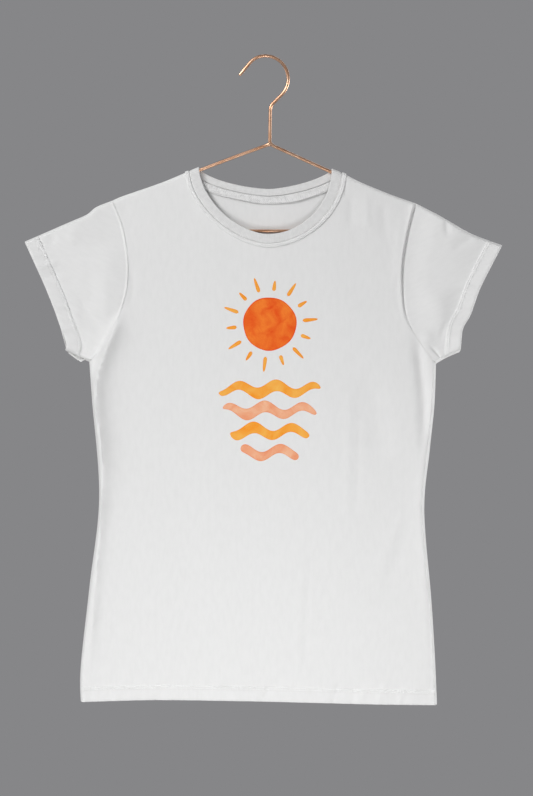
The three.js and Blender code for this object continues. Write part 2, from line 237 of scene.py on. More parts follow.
def fill_patch(bottom: np.ndarray, top: np.ndarray, left: np.ndarray, right: np.ndarray) -> np.ndarray:
    """Fills four edges with a grid that bends towards its sides only near them.

    Args:
        bottom: points from left to right.
        top: points from left to right.
        left: points upwards.
        right: points upwards.
    Returns:
        A grid of points, rows upwards.
    """
    pull = 5.0
    u = (chord_shares(bottom) + chord_shares(top)) / 2
    v = (chord_shares(left) + chord_shares(right)) / 2
    grid = bottom[None] + (top - bottom)[None] * v[:, None, None]
    for edge, weight in ((left, (1 - u) ** pull), (right, u**pull)):
        bow = edge - (edge[0] + (edge[-1] - edge[0]) * v[:, None])
        grid = grid + bow[:, None] * weight[None, :, None]
    grid[:, 0], grid[:, -1] = left, right
    return grid


# ---------------------------------------------------------------- the shirt's outline


@dataclass(frozen=True)
class Half:
    """One half of the shirt's outline: x outward from the hang point and z up."""

    name: str
    sign: int
    shoulder: list
    sleeve_top: list
    cuff_front: list
    cuff_back: list
    underarm: list
    armhole: list
    side: list

    def curve(self, name: str) -> PlaneCurve:
        """One edge of the half as a curve in the shirt's own frame."""
        return PlaneCurve.through([(self.sign * x, z) for x, z in getattr(self, name)])

    def cuff(self, face: Face) -> PlaneCurve:
        """The sleeve's end on one face, from the top down."""
        return self.curve("cuff_front" if face is Face.FRONT else "cuff_back")


LEFT = Half(
    name="left",
    sign=-1,
    shoulder=[(84.9, -136.6), (100.8, -143.2), (133, -156.4), (178, -172), (192, -178)],
    sleeve_top=[(192, -178), (212, -186), (224, -195.5), (248, -206), (300.2, -228.8)],
    cuff_front=[(300.2, -228.8), (277.3, -279), (264.2, -311), (254.9, -337), (248, -356), (250, -363.5)],
    cuff_back=[(300.2, -228.8), (277, -279), (262, -320), (250, -363.5)],
    underarm=[(250, -363.5), (236, -371), (220.5, -377.5)],
    armhole=[(192, -178), (179, -211), (172, -256), (176, -300), (197, -351), (220.5, -377.5)],
    side=[(220.5, -377.5), (217, -425), (208.1, -545), (220, -655), (231, -755), (231.1, -798)],
)
RIGHT_CUFF = [(290.4, -233.3), (264, -285), (251, -320), (241.5, -338), (238.5, -365.4)]
RIGHT = Half(
    name="right",
    sign=1,
    shoulder=[(80.3, -138.6), (96.8, -145.6), (117.6, -156), (156, -171.6), (184, -181.3)],
    sleeve_top=[(184, -181.3), (210, -194.6), (229.5, -205.9), (255, -220), (290.4, -233.3)],
    cuff_front=RIGHT_CUFF,
    cuff_back=RIGHT_CUFF,
    underarm=[(238.5, -365.4), (222, -372.5), (209, -380)],
    armhole=[(184, -181.3), (173.5, -225), (167.8, -270), (172, -322), (192, -358.5), (209, -380)],
    side=[
        (209, -380), (207, -432), (201.5, -485), (194.5, -562), (203, -670), (207.5, -740), (210.2, -801.8)
    ],
)
HALVES = (LEFT, RIGHT)
HEM_LINE = PlaneCurve.through([(-231.1, -798), (-135, -795.5), (0, -797.5), (118, -800.5), (210.2, -801.8)])


@dataclass
class NeckBand:
    """The band round the neck on one face, between its inner edge and its seam.

    Both edges are two superellipse quarters that meet at their lowest points. A place on the
    band is a distance along the seam edge from the left corner and one from the inner edge.
    """

    inner_bottom: tuple[float, float]
    seam_bottom: tuple[float, float]
    inner_bulges: tuple[float, float]
    seam_bulges: tuple[float, float]
    width: float = 15.5
    crowding: float = 1.35
    samples: int = 300
    edges: tuple = field(init=False)
    way: np.ndarray = field(init=False)

    def __post_init__(self) -> None:
        """Draws both edges."""
        inner = self.edge(0, self.inner_bottom, self.inner_bulges)
        seam = self.edge(1, self.seam_bottom, self.seam_bulges)
        self.edges = (inner, seam)
        self.way = PlaneCurve(seam).way

    def edge(self, corner: int, bottom: tuple[float, float], bulges: tuple[float, float]) -> np.ndarray:
        """An edge from the left corner down to its lowest point and up to the right one."""
        angle = np.linspace(0, 1, self.samples) ** self.crowding * math.pi / 2
        quarters = []
        for half, bulge in zip(HALVES, bulges):
            x, z = half.shoulder[corner]
            across = np.abs(np.cos(angle)) ** (2 / bulge)
            across[-1] = 0
            down = np.abs(np.sin(angle)) ** (2 / bulge)
            low_x, low_z = bottom
            edge_x = low_x + (half.sign * x - low_x) * across
            quarters.append(np.stack([edge_x, z + (low_z - z) * down], axis=1))
        return np.vstack([quarters[0], quarters[1][::-1][1:]])

    @property
    def length(self) -> float:
        """The length of the seam edge."""
        return float(self.way[-1])

    def at(self, ways: np.ndarray, inset: float | np.ndarray) -> np.ndarray:
        """The points at these distances along the seam and from the inner edge."""
        numbers = np.arange(len(self.way))
        index = np.interp(ways, self.way, numbers)
        inner, seam = (
            np.stack([np.interp(index, numbers, edge[:, k]) for k in (0, 1)], axis=-1) for edge in self.edges
        )
        share = np.broadcast_to(np.asarray(inset, float) / self.width, index.shape)
        points = inner + (seam - inner) * share[..., None]
        for half, at_end in zip(HALVES, (index == 0, index == numbers[-1])):
            if at_end.any():
                points[at_end] = self.corner(half, share[at_end])
        return points

    @staticmethod
    def corner(half: Half, share: np.ndarray) -> np.ndarray:
        """Where the band crosses the fold at the top of the shoulder."""
        curve = half.curve("shoulder")
        seam = np.array(half.shoulder[1:2]) * [half.sign, 1]
        return curve.after(share * curve.reach(seam)[0])


NECK = {
    Face.FRONT: NeckBand((1, -219.8), (1, -235.3), (1.72, 1.95), (1.68, 1.85)),
    Face.BACK: NeckBand((3, -163.2), (3, -178.8), (1.6, 1.47), (1.6, 1.6)),
}


# ---------------------------------------------------------------- relief of the cloth


@dataclass(frozen=True)
class Fold:
    """A ridge or, with a negative height, a valley along a smooth line.

    It fades over these shares of its way at either end, and a skew makes it wider on the left
    of its line and narrower on the right.
    """

    height: float
    width: float
    path: list
    fade: tuple[float, float] = (0.3, 0.3)
    skew: float = 0.0
    samples: int = 14

    def relief(self, points: np.ndarray) -> np.ndarray:
        """How far the fold lifts the cloth at each point."""
        near = nearest_on(points, pairs(PlaneCurve.through(self.path).even(self.samples)))
        width = self.width * (1 + self.skew * near.side)
        return self.height * end_fade(near.share, self.fade) * bell(near.distance, width)


@dataclass(frozen=True)
class Roll:
    """A roll of cloth that drops off beside its crest and then runs out slowly.

    It runs out to the left (1) or to the right (-1) of its line, and ends soon on the other side.
    """

    height: float
    width: float
    tail: float
    path: list
    towards: int = 1
    fade: tuple[float, float] = (0.15, 0.3)
    rounding: float = 1.5
    samples: int = 36

    def relief(self, points: np.ndarray) -> np.ndarray:
        """How far the roll lifts the cloth at each point."""
        near = nearest_on(points, pairs(PlaneCurve.through(self.path).even(self.samples)))
        fade = end_fade(near.share, self.fade)
        run = np.exp(-(np.hypot(near.distance, self.rounding) - self.rounding) / self.tail)
        end = bell(near.distance, self.width)
        return self.height * fade * np.where(near.side == self.towards, run, end)


@dataclass(frozen=True)
class Puckers:
    """The small ripples that sewing gathers across a hem.

    Jitter and widths are shares of the spacing, and slants are shares of the mean slant.
    """

    spacing: float
    height: float
    slant: float
    seed: int
    jitter: float = 0.35
    widths: tuple[float, float] = (0.22, 0.45)
    slants: tuple[float, float] = (0.2, 1.6)
    fade_from: float = 0.6

    def relief(self, way: np.ndarray, distance: np.ndarray, length: float, reach: float) -> np.ndarray:
        """The ripples at each point.

        Args:
            way: how far along the hem the point is.
            distance: how far the point is from the hem's edge.
            length: the length of the hem.
            reach: the distance at which the ripples have died out.
        Returns:
            The lift at each point.
        """
        rng = np.random.default_rng(self.seed)
        count = max(1, int(length / self.spacing))
        shifts = rng.uniform(-self.jitter, self.jitter, count)
        centres = np.linspace(0, length, count) + shifts * self.spacing
        heights = rng.uniform(-1, 1, count) * self.height
        widths = rng.uniform(*self.widths, count) * self.spacing
        slants = self.slant * rng.uniform(*self.slants, count)
        total = np.zeros(len(way))
        for centre, height, width, slant in zip(centres, heights, widths, slants):
            total += height * bell(way - centre - slant * distance, width)
        return total * (1 - smoothstep(distance, reach * self.fade_from, reach))


@dataclass(frozen=True)
class TurnedHem:
    """A hem turned up once to the inside and sewn down with two needles.

    The double cloth swells over its rise from the edge and falls off about the upper needle.
    """

    curve: PlaneCurve
    puckers: Puckers
    width: float = 17.0
    needle_gap: float = 2.4
    groove: float = 0.45
    groove_width: float = 1.2
    swell: float = 0.9
    thread_lift: float = 0.5
    lean: float = 0.0
    reach: float = 30.0
    rise: tuple[float, float] = (-1.0, 2.5)
    fall: tuple[float, float] = (-0.4, 1.4)
    samples: int = 90

    def relief(self, points: np.ndarray) -> np.ndarray:
        """The stitching's groove, the double cloth's swell, the hem's lean outward and the puckers."""
        near = nearest_on(points, pairs(self.curve.even(self.samples)))
        close = near.distance < self.reach
        total = np.zeros(len(points))
        if not close.any():
            return total
        d, way = near.distance[close], near.share[close] * self.curve.length
        grooves = sum(bell(d - line, self.groove_width) for line in self.needle_lines())
        fall = (self.width + edge for edge in self.fall)
        band = self.swell * (smoothstep(d, *self.rise) - smoothstep(d, *fall))
        opening = self.lean * np.clip(1 - d / self.width, 0, 1)
        total[close] = band + opening - self.groove * grooves
        total[close] += self.puckers.relief(way, d, self.curve.length, self.reach)
        return total

    def needle_lines(self) -> tuple[float, float]:
        """The distances of the two rows of stitches from the hem's edge."""
        return self.width, self.width - self.needle_gap


@dataclass(frozen=True)
class ArmholeSeam:
    """The seam that joins a sleeve to the body, with its allowance turned to the sleeve.

    Out to the sleeve a ridge lies beside the groove, or the cloth drops and then rises again
    over a run. On the body's side it may swell. Taper lets all of it die down the seam.
    """

    half: Half
    gap: float
    groove: float
    groove_width: float = 1.0
    ridge: float = 0.0
    ridge_width: float = 1.1
    ridge_at: float = 1.0
    body_swell: float = 0.0
    swell_width: float = 2.0
    swell_at: float = 3.0
    drop: float = 0.0
    drop_edge: float = 1.0
    drop_run: tuple[float, float] = (6.0, 34.0)
    taper: float = 0.0
    taper_span: tuple[float, float] = (0.4, 0.75)
    foot: float = 0.05

    def relief(self, points: np.ndarray) -> np.ndarray:
        """The groove of the seam and the rolls of cloth beside it, positive out to the sleeve."""
        near = nearest_on(points, self.half.curve("armhole").segments())
        out = near.distance * near.side * self.half.sign
        groove = -self.groove * bell(out, self.groove_width)
        ridge = self.ridge * bell(out - self.ridge_at, self.ridge_width)
        swell = self.body_swell * bell(out + self.swell_at, self.swell_width)
        drop = -self.drop * smoothstep(out, -self.drop_edge, self.drop_edge)
        drop *= 1 - smoothstep(out, *self.drop_run)
        fade = 1 - self.taper * smoothstep(near.share, *self.taper_span)
        return (groove + ridge + swell + drop) * fade * smoothstep(1 - near.share, 0.0, self.foot)

    def line(self, side: int) -> PlaneCurve:
        """The cloth's edge along the seam, of the sleeve (1) or of the body (-1)."""
        curve = self.half.curve("armhole")
        normals = left_of(curve.dense) * self.half.sign
        if side > 0:
            meets = self.half.curve("sleeve_top"), self.half.curve("underarm").backwards()
        else:
            meets = self.half.curve("shoulder").backwards(), self.half.curve("side")
        ends = tuple(edge.after(self.gap) for edge in meets)
        return PlaneCurve(parallel(curve.dense, normals, self.gap * side, ends))


@dataclass(frozen=True)
class Ripple:
    """Faint waves that run mostly down the cloth, as in any jersey that has been washed."""

    height: float
    seed: int
    waves: int = 14
    lengths: tuple[float, float] = (22.0, 90.0)
    stretch: float = 4.0
    tilt: float = 0.35

    def relief(self, points: np.ndarray) -> np.ndarray:
        """The sum of the waves at each point."""
        rng = np.random.default_rng(self.seed)
        total = np.zeros(len(points))
        for _ in range(self.waves):
            length = rng.uniform(*self.lengths)
            angle = rng.normal(0, self.tilt)
            across = points @ np.array([math.cos(angle), math.sin(angle)])
            down = points @ np.array([-math.sin(angle), math.cos(angle)])
            phase, slow = rng.uniform(0, 2 * math.pi, 2)
            swing = 0.5 + 0.5 * np.sin(2 * math.pi * down / (length * self.stretch) + slow)
            total += np.sin(2 * math.pi * across / length + phase) * swing * length / self.lengths[1]
        return self.height * total / math.sqrt(self.waves)


# ---------------------------------------------------------------- where the cloth hangs


@dataclass
class HungCloth:
    """Puts points of the flat outline where the hung cloth lies.

    The front and the back stand off the middle plane and meet at the folded edges of the
    silhouette, each through a quarter of an ellipse.
    """

    folds: dict
    seams: dict
    hems: dict
    ripples: dict
    reach: float = 4.5
    depth_at_neck: float = 3.9
    depth_at_hem: float = 15.0
    depth_of_sleeve: float = 10.0
    levels: tuple[float, float] = (150.0, 450.0)
    sleeve_span: tuple[float, float] = (170.0, 245.0)
    sleeve_foot: tuple[float, float] = (330.0, 420.0)
    edge_ease: float = 5.0
    on_edge: float = 0.02
    probe: float = 0.6
    segments: np.ndarray = field(init=False)
    outwards: np.ndarray = field(init=False)

    def __post_init__(self) -> None:
        """Cuts the folded edges of the silhouette into segments."""
        segments, outwards = [], []
        for half in HALVES:
            for name in ("shoulder", "sleeve_top", "underarm", "side"):
                upper = name in ("shoulder", "sleeve_top")
                way_out = np.array([0.0, 1.0]) if upper else np.array([half.sign, -1.0])
                edge = half.curve(name).segments()
                along = edge[:, 1] - edge[:, 0]
                normal = unit(np.stack([-along[:, 1], along[:, 0]], axis=1))
                normal *= np.where(normal @ way_out < 0, -1, 1)[:, None]
                segments.append(edge)
                outwards.append(normal)
        self.segments = np.concatenate(segments)
        self.outwards = np.concatenate(outwards)

    def full_depth(self, points: np.ndarray) -> np.ndarray:
        """The depth that the cloth reaches away from its folds."""
        down = smoothstep(-points[:, 1], *self.levels)
        body = self.depth_at_neck + (self.depth_at_hem - self.depth_at_neck) * down
        out = smoothstep(np.abs(points[:, 0]), *self.sleeve_span)
        out *= 1 - smoothstep(-points[:, 1], *self.sleeve_foot)
        return body + (self.depth_of_sleeve - body) * out

    def relief(self, points: np.ndarray, face: Face) -> np.ndarray:
        """How far folds, seams and hems lift the cloth off its plain depth."""
        sewn = [*self.seams.values(), *self.hems[face].values()]
        hanging = [self.ripples[face], *self.folds[face]]
        return sum(part.relief(points) for part in sewn) + sum(part.relief(points) for part in hanging)

    def place(self, points: np.ndarray, face: Face, lift: np.ndarray | float = 0.0) -> np.ndarray:
        """Puts outline points on the hung cloth.

        Args:
            points: plane points, one a row.
            face: the face of the shirt.
            lift: how far off the cloth's middle each point lies, outwards.
        Returns:
            Points in space, one a row.
        """
        near = nearest_on(points, self.segments)
        outward = near.towards / np.maximum(near.distance, TINY)[:, None]
        at_edge = near.distance < self.on_edge
        outward[at_edge] = self.outwards[near.segment[at_edge]]
        inward = 1 - np.minimum(near.distance, self.reach) / self.reach
        rise = np.sqrt(np.maximum(0, 1 - inward**2))
        depth = self.full_depth(points)
        slope = np.arctan2(depth * inward, self.reach * np.maximum(rise, TINY))
        ease = np.sqrt(1 - (1 - np.minimum(near.distance, self.edge_ease) / self.edge_ease) ** 2)
        height = self.relief(points, face)
        away = depth * rise + height * ease
        base = np.stack([points[:, 0], face.value * away, points[:, 1]], axis=1)
        lift = np.broadcast_to(np.asarray(lift, float), (len(points),))
        if not lift.any():
            return base
        leaning = np.sin(slope)[:, None] * outward
        normal = np.stack([leaning[:, 0], np.cos(slope), leaning[:, 1]], axis=1)
        for k, shift in ((0, (self.probe, 0)), (2, (0, self.probe))):
            slant = (self.relief(points + np.array(shift), face) - height) / self.probe
            normal[:, k] -= np.cos(slope) * ease * slant
        normal = unit(normal)
        normal[:, 1] *= face.value
        return base + normal * lift[:, None]

    def place_grid(self, grid: np.ndarray, face: Face, lifts: np.ndarray | float = 0.0) -> np.ndarray:
        """Puts a grid of outline points on the hung cloth, each row with its own lift."""
        lift = np.broadcast_to(np.asarray(lifts, float).reshape(-1, 1), grid.shape[:2]).ravel()
        return self.place(grid.reshape(-1, 2), face, lift).reshape(*grid.shape[:2], 3)


# ---------------------------------------------------------------- meshes


def quads(rows: int, columns: int, ring: bool = False) -> np.ndarray:
    """The faces of a grid of vertices, joined round its rows if it is a ring."""
    spans = columns if ring else columns - 1
    r, c = (part.ravel() for part in np.meshgrid(np.arange(rows - 1), np.arange(spans), indexing="ij"))
    after = (c + 1) % columns
    corners = [r * columns + c, r * columns + after, (r + 1) * columns + after, (r + 1) * columns + c]
    return np.stack(corners, axis=1)


def ring_part(grid: np.ndarray, face: Face) -> np.ndarray:
    """One face's columns of a ring: all of the front's, then the back's between its ends, reversed."""
    return grid if face is Face.FRONT else grid[:, -2:0:-1]


def mesh_object(name: str, points: np.ndarray, faces: list, **data: np.ndarray) -> bpy.types.Object:
    """Makes a smooth mesh object from points in millimetres.

    Args:
        name: the piece's name.
        points: points in space, one a row.
        faces: the corners of each face.
        data: values for each point, in millimetres, that the finish reads by their names.
    Returns:
        The object, linked to the scene.
    """
    mesh = bpy.data.meshes.new(name)
    mesh.from_pydata((np.asarray(points) * MM).tolist(), [], faces)
    mesh.polygons.foreach_set("use_smooth", np.ones(len(mesh.polygons), bool))
    for key, values in data.items():
        values = np.asarray(values, np.float32) * MM
        kind, entry = ("FLOAT_VECTOR", "vector") if values.ndim == 2 else ("FLOAT", "value")
        mesh.attributes.new(key, kind, "POINT").data.foreach_set(entry, values.ravel())
    piece = bpy.data.objects.new(name, mesh)
    bpy.context.scene.collection.objects.link(piece)
    return piece


def grid_object(name: str, grid: np.ndarray, ring: bool = False, **data: np.ndarray) -> bpy.types.Object:
    """Makes a mesh object from a grid of points in space."""
    rows, columns = grid.shape[:2]
    return mesh_object(name, grid.reshape(-1, 3), quads(rows, columns, ring).tolist(), **data)


def grain(grid: np.ndarray, turn: float = 0.0) -> np.ndarray:
    """The place of each point along the yarns, which lie turned by an angle in the outline."""
    x, z = grid.reshape(-1, 2).T
    c, s = math.cos(turn), math.sin(turn)
    return np.stack([x * c + z * s, z * c - x * s, np.zeros(len(x))], axis=1)


def settle(piece: bpy.types.Object) -> None:
    """Applies a piece's modifiers to its mesh."""
    graph = bpy.context.evaluated_depsgraph_get()
    solved = piece.evaluated_get(graph)
    made = bpy.data.meshes.new_from_object(solved, preserve_all_data_layers=True, depsgraph=graph)
    old = piece.data
    piece.modifiers.clear()
    piece.data = made
    bpy.data.meshes.remove(old)
    made.name = piece.name


def thicken(piece: bpy.types.Object, thickness: float) -> None:
    """Gives a sheet its thickness, evenly about its middle, and keeps the cut edges crisp."""
    solid = piece.modifiers.new("thickness", "SOLIDIFY")
    solid.thickness = thickness * MM
    solid.offset = 0
    settle(piece)
    piece.data.set_sharp_from_angle(angle=CUT_EDGE)


def face_outward(piece: bpy.types.Object) -> None:
    """Turns a closed mesh's faces round if they point inwards."""
    mesh = piece.data
    mesh.calc_loop_triangles()
    points = np.empty(len(mesh.vertices) * 3, np.float32)
    mesh.vertices.foreach_get("co", points)
    corners = np.empty(len(mesh.loop_triangles) * 3, np.int32)
    mesh.loop_triangles.foreach_get("vertices", corners)
    a, b, c = points.reshape(-1, 3)[corners.reshape(-1, 3)].transpose(1, 0, 2)
    if (a * np.cross(b, c)).sum() < 0:
        log.info("%s: turned outward", piece.name)
        mesh.flip_normals()


def dress(piece: bpy.types.Object, material: bpy.types.Material, slot: str, *nodes: str) -> bpy.types.Object:
    """Gives a piece its finish and its place on the body, and hides the parts of model.glb that it stands
    for.
    """
    piece.data.materials.clear()
    piece.data.materials.append(material)
    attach(piece, BODY)
    if nodes:
        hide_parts(*nodes)
    piece.data.calc_loop_triangles()
    log.info("%s: %d triangles", piece.name, len(piece.data.loop_triangles))
    return piece


# ---------------------------------------------------------------- finishes


def linear(colour: str) -> tuple[float, float, float, float]:
    """Turns an sRGB hex colour to linear red, green, blue and a full alpha."""
    parts = [int(colour[i : i + 2], 16) / 255 for i in (1, 3, 5)]
    return (*(c / 12.92 if c <= 0.04045 else ((c + 0.055) / 1.055) ** 2.4 for c in parts), 1.0)


def add(
    tree: bpy.types.NodeTree, kind: str, settings: dict | None = None, **inputs: object
) -> bpy.types.Node:
    """Adds a shader node with its settings, values and links.

    Args:
        tree: the material's nodes.
        kind: the node's type after ShaderNode.
        settings: the node's own properties.
        inputs: a value, or an output to link, by the input's name with _ for a space, or by its
            number after the letter n.
    Returns:
        The node.
    """
    node = tree.nodes.new("ShaderNode" + kind)
    for name, value in (settings or {}).items():
        setattr(node, name, value)
    for name, value in inputs.items():
        socket = node.inputs[int(name[1:]) if name[1:].isdigit() else name.replace("_", " ")]
        if isinstance(value, bpy.types.NodeSocket):
            tree.links.new(value, socket)
        else:
            socket.default_value = value
    return node


def new_material(name: str) -> tuple[bpy.types.Material, bpy.types.NodeTree]:
    """An empty node material and its nodes."""
    material = bpy.data.materials.new(name)
    material.use_nodes = True
    material.node_tree.nodes.clear()
    return material, material.node_tree


def along_yarns(tree: bpy.types.NodeTree) -> bpy.types.NodeSocket:
    """The place of a point along the yarns, in metres."""
    return add(tree, "Attribute", {"attribute_name": "grain"}).outputs["Vector"]


def wave(tree: bpy.types.NodeTree, way: bpy.types.NodeSocket, pitch: float) -> bpy.types.NodeSocket:
    """A sine of a pitch in millimetres along one direction of the grain."""
    turn = add(tree, "Math", {"operation": "MULTIPLY"}, n0=way, n1=2 * math.pi / (pitch * MM))
    return add(tree, "Math", {"operation": "SINE"}, n0=turn.outputs[0]).outputs[0]


def tint(
    tree: bpy.types.NodeTree,
    strength: bpy.types.NodeSocket,
    colours: tuple[str, str],
    span: tuple[float, float],
) -> bpy.types.NodeSocket:
    """Blends from one colour to the other as a strength goes through a span."""
    ramp = add(tree, "ValToRGB", Fac=strength)
    for element, colour, position in zip(ramp.color_ramp.elements, colours, span):
        element.color = linear(colour)
        element.position = position
    return ramp.outputs["Color"]


def surface(tree: bpy.types.NodeTree, **inputs: object) -> None:
    """Ends a material in a principled shader with these inputs."""
    shader = add(tree, "BsdfPrincipled", **inputs)
    add(tree, "OutputMaterial", Surface=shader.outputs[0])


@dataclass(frozen=True)
class CottonJersey:
    """Bleached cotton single jersey, knitted and enzyme washed: a soft matt white that is faintly
    streaked down its wales, with a slight bloom of fibres where the cloth turns away."""

    colours: tuple[str, str] = ("#EBEBEA", "#EEEEED")
    # Real wales are 0.7 mm apart, too fine to show, so they are drawn three times as coarse.
    wale_mm: float = 2.1
    course_mm: float = 1.6
    slub_mm: float = 5.0
    slub_stretch: float = 0.3
    name: str = "cotton_jersey"

    def material(self) -> bpy.types.Material:
        """The jersey's nodes: slubs and streaks in the colour, knit loops in the relief."""
        material, tree = new_material(self.name)
        place = along_yarns(tree)
        drawn = add(tree, "Mapping", Vector=place, Scale=(1, self.slub_stretch, 1)).outputs[0]
        slub = add(tree, "TexNoise", Vector=drawn, Scale=1 / (self.slub_mm * MM), Detail=4.0, Roughness=0.6)
        split = add(tree, "SeparateXYZ", Vector=place)
        wale = wave(tree, split.outputs["X"], self.wale_mm)
        course = wave(tree, split.outputs["Y"], self.course_mm)
        loops = add(tree, "Math", {"operation": "MULTIPLY"}, n0=wale, n1=course).outputs[0]
        relief = add(tree, "Math", {"operation": "MULTIPLY_ADD"}, n0=loops, n1=0.25, n2=slub.outputs["Fac"])
        bump = add(tree, "Bump", Strength=0.035, Distance=0.0005, Height=relief.outputs[0])
        surface(
            tree,
            Base_Color=tint(tree, slub.outputs["Fac"], self.colours, (0.32, 0.62)),
            Roughness=0.94,
            IOR=1.47,
            Specular_IOR_Level=0.25,
            Sheen_Weight=0.12,
            Sheen_Roughness=0.6,
            Normal=bump.outputs[0],
        )
        return material


@dataclass(frozen=True)
class RibKnit:
    """Bleached cotton 1 x 1 rib, knitted and folded double: fine cords across the band, and painted
    shade of the cords that makes it a slightly greyer, busier white than the jersey."""

    # Both colours are greyer than the jersey's, as painted shade of the band's fine cords.
    colours: tuple[str, str] = ("#E0E0DF", "#EAEAE9")
    # Real ribs are 1 mm apart, so they are drawn a little over twice as coarse to show.
    rib_mm: float = 2.2
    slub_mm: float = 5.0
    name: str = "rib_knit_cotton"

    def material(self) -> bpy.types.Material:
        """The rib's nodes: cords in the relief, and painted shade of the cords a little in the colour."""
        material, tree = new_material(self.name)
        place = along_yarns(tree)
        slub = add(tree, "TexNoise", Vector=place, Scale=1 / (self.slub_mm * MM), Detail=3.0).outputs["Fac"]
        cord = wave(tree, add(tree, "SeparateXYZ", Vector=place).outputs["X"], self.rib_mm)
        mixed = add(tree, "Math", {"operation": "MULTIPLY_ADD"}, n0=cord, n1=0.1, n2=slub).outputs[0]
        bump = add(tree, "Bump", Strength=0.3, Distance=0.0005, Height=mixed)
        surface(
            tree,
            # The colour follows the random slubs and the cords, darker in the cords' grooves as painted
            # shade.
            Base_Color=tint(tree, mixed, self.colours, (0.3, 0.7)),
            Roughness=0.94,
            IOR=1.47,
            Specular_IOR_Level=0.25,
            Sheen_Weight=0.1,
            Sheen_Roughness=0.6,
            Normal=bump.outputs[0],
        )
        return material


@dataclass(frozen=True)
class HerringboneTape:
    """Bleached cotton herringbone tape, woven on a narrow loom: a dull white in random patches, with
    short slanted ribs that turn back at the tape's middle and painted shade along their grooves."""

    colours: tuple[str, str] = ("#D6D6D5", "#F0F0EF")
    # Real herringbone ribs are 1 mm apart, so they are drawn over twice as coarse to show.
    rib_mm: float = 2.4
    patch_scale: float = 220.0
    name: str = "herringbone_cotton_tape"

    def material(self) -> bpy.types.Material:
        """The tape's nodes: slanted ribs that mirror about its middle line, in the relief and as painted
        shade in the colour.
        """
        material, tree = new_material(self.name)
        place = along_yarns(tree)
        split = add(tree, "SeparateXYZ", Vector=place)
        folded = add(tree, "Math", {"operation": "ABSOLUTE"}, n0=split.outputs["Y"]).outputs[0]
        slanted = add(tree, "Math", {"operation": "ADD"}, n0=split.outputs["X"], n1=folded).outputs[0]
        rib = wave(tree, slanted, self.rib_mm)
        patch = add(tree, "TexNoise", Vector=place, Scale=self.patch_scale, Detail=3.0).outputs["Fac"]
        mixed = add(tree, "Math", {"operation": "MULTIPLY_ADD"}, n0=rib, n1=0.15, n2=patch).outputs[0]
        bump = add(tree, "Bump", Strength=0.5, Distance=0.0005, Height=mixed)
        surface(
            tree,
            # The colour follows the random patches and the ribs, darker in the ribs' grooves as painted
            # shade.
            Base_Color=tint(tree, mixed, self.colours, (0.25, 0.6)),
            Roughness=0.92,
            IOR=1.47,
            Specular_IOR_Level=0.25,
            Normal=bump.outputs[0],
        )
        return material


@dataclass(frozen=True)
class SpunThread:
    """White core-spun polyester thread, twisted: a clean white with a slight silky gleam that
    sets a row of stitches off from the matt cloth."""

    colours: tuple[str, str] = ("#EFEFEE", "#FBFBFA")
    ply_mm: float = 0.5
    name: str = "core_spun_thread"

    def material(self) -> bpy.types.Material:
        """The thread's nodes: a fine slanted twist in the relief, and painted shade of its grooves in the
        colour.
        """
        material, tree = new_material(self.name)
        place = add(tree, "TexCoord").outputs["Object"]
        settings = {"bands_direction": "DIAGONAL"}
        twist = add(tree, "TexWave", settings, Vector=place, Scale=0.3 / (self.ply_mm * MM), Distortion=2.0)
        bump = add(tree, "Bump", Strength=0.4, Distance=0.0001, Height=twist.outputs["Fac"])
        surface(
            tree,
            # The colour follows the twist, darker in its grooves as painted shade.
            Base_Color=tint(tree, twist.outputs["Fac"], self.colours, (0.2, 0.8)),
            Roughness=0.6,
            IOR=1.55,
            Normal=bump.outputs[0],
        )
        return material


@dataclass(frozen=True)
class CopperPlatedWire:
    """Copper-plated steel wire, drawn and lightly polished: a warm rose metal with soft, long
    highlights, a little darker where it has been handled."""

    colours: tuple[str, str] = ("#D9A583", "#EFC3A4")
    cloud_mm: float = 16.0
    draw_mm: float = 5.0
    name: str = "copper_plated_wire"

    def material(self) -> bpy.types.Material:
        """The wire's nodes: cloudy handling marks in colour and roughness, fine drawing lines."""
        material, tree = new_material(self.name)
        place = add(tree, "TexCoord").outputs["Object"]
        cloud = add(tree, "TexNoise", Vector=place, Scale=1 / (self.cloud_mm * MM), Detail=1.5).outputs["Fac"]
        lines = add(tree, "TexNoise", Vector=place, Scale=1 / (self.draw_mm * MM), Detail=1.0).outputs["Fac"]
        bump = add(tree, "Bump", Strength=0.02, Distance=0.0002, Height=lines)
        surface(
            tree,
            Base_Color=tint(tree, cloud, self.colours, (0.35, 0.65)),
            Metallic=1.0,
            Roughness=add(tree, "MapRange", Value=cloud, To_Min=0.28, To_Max=0.36).outputs[0],
            Normal=bump.outputs[0],
        )
        return material


class Ink(Enum):
    """The inks of the chest print, each from its faintest wash to its strongest."""

    AMBER = ("#FFC05A", "#FF9A1E")
    ORANGE = ("#FF8A2E", "#F04E08")
    PEACH = ("#FBC6A0", "#F5976A")


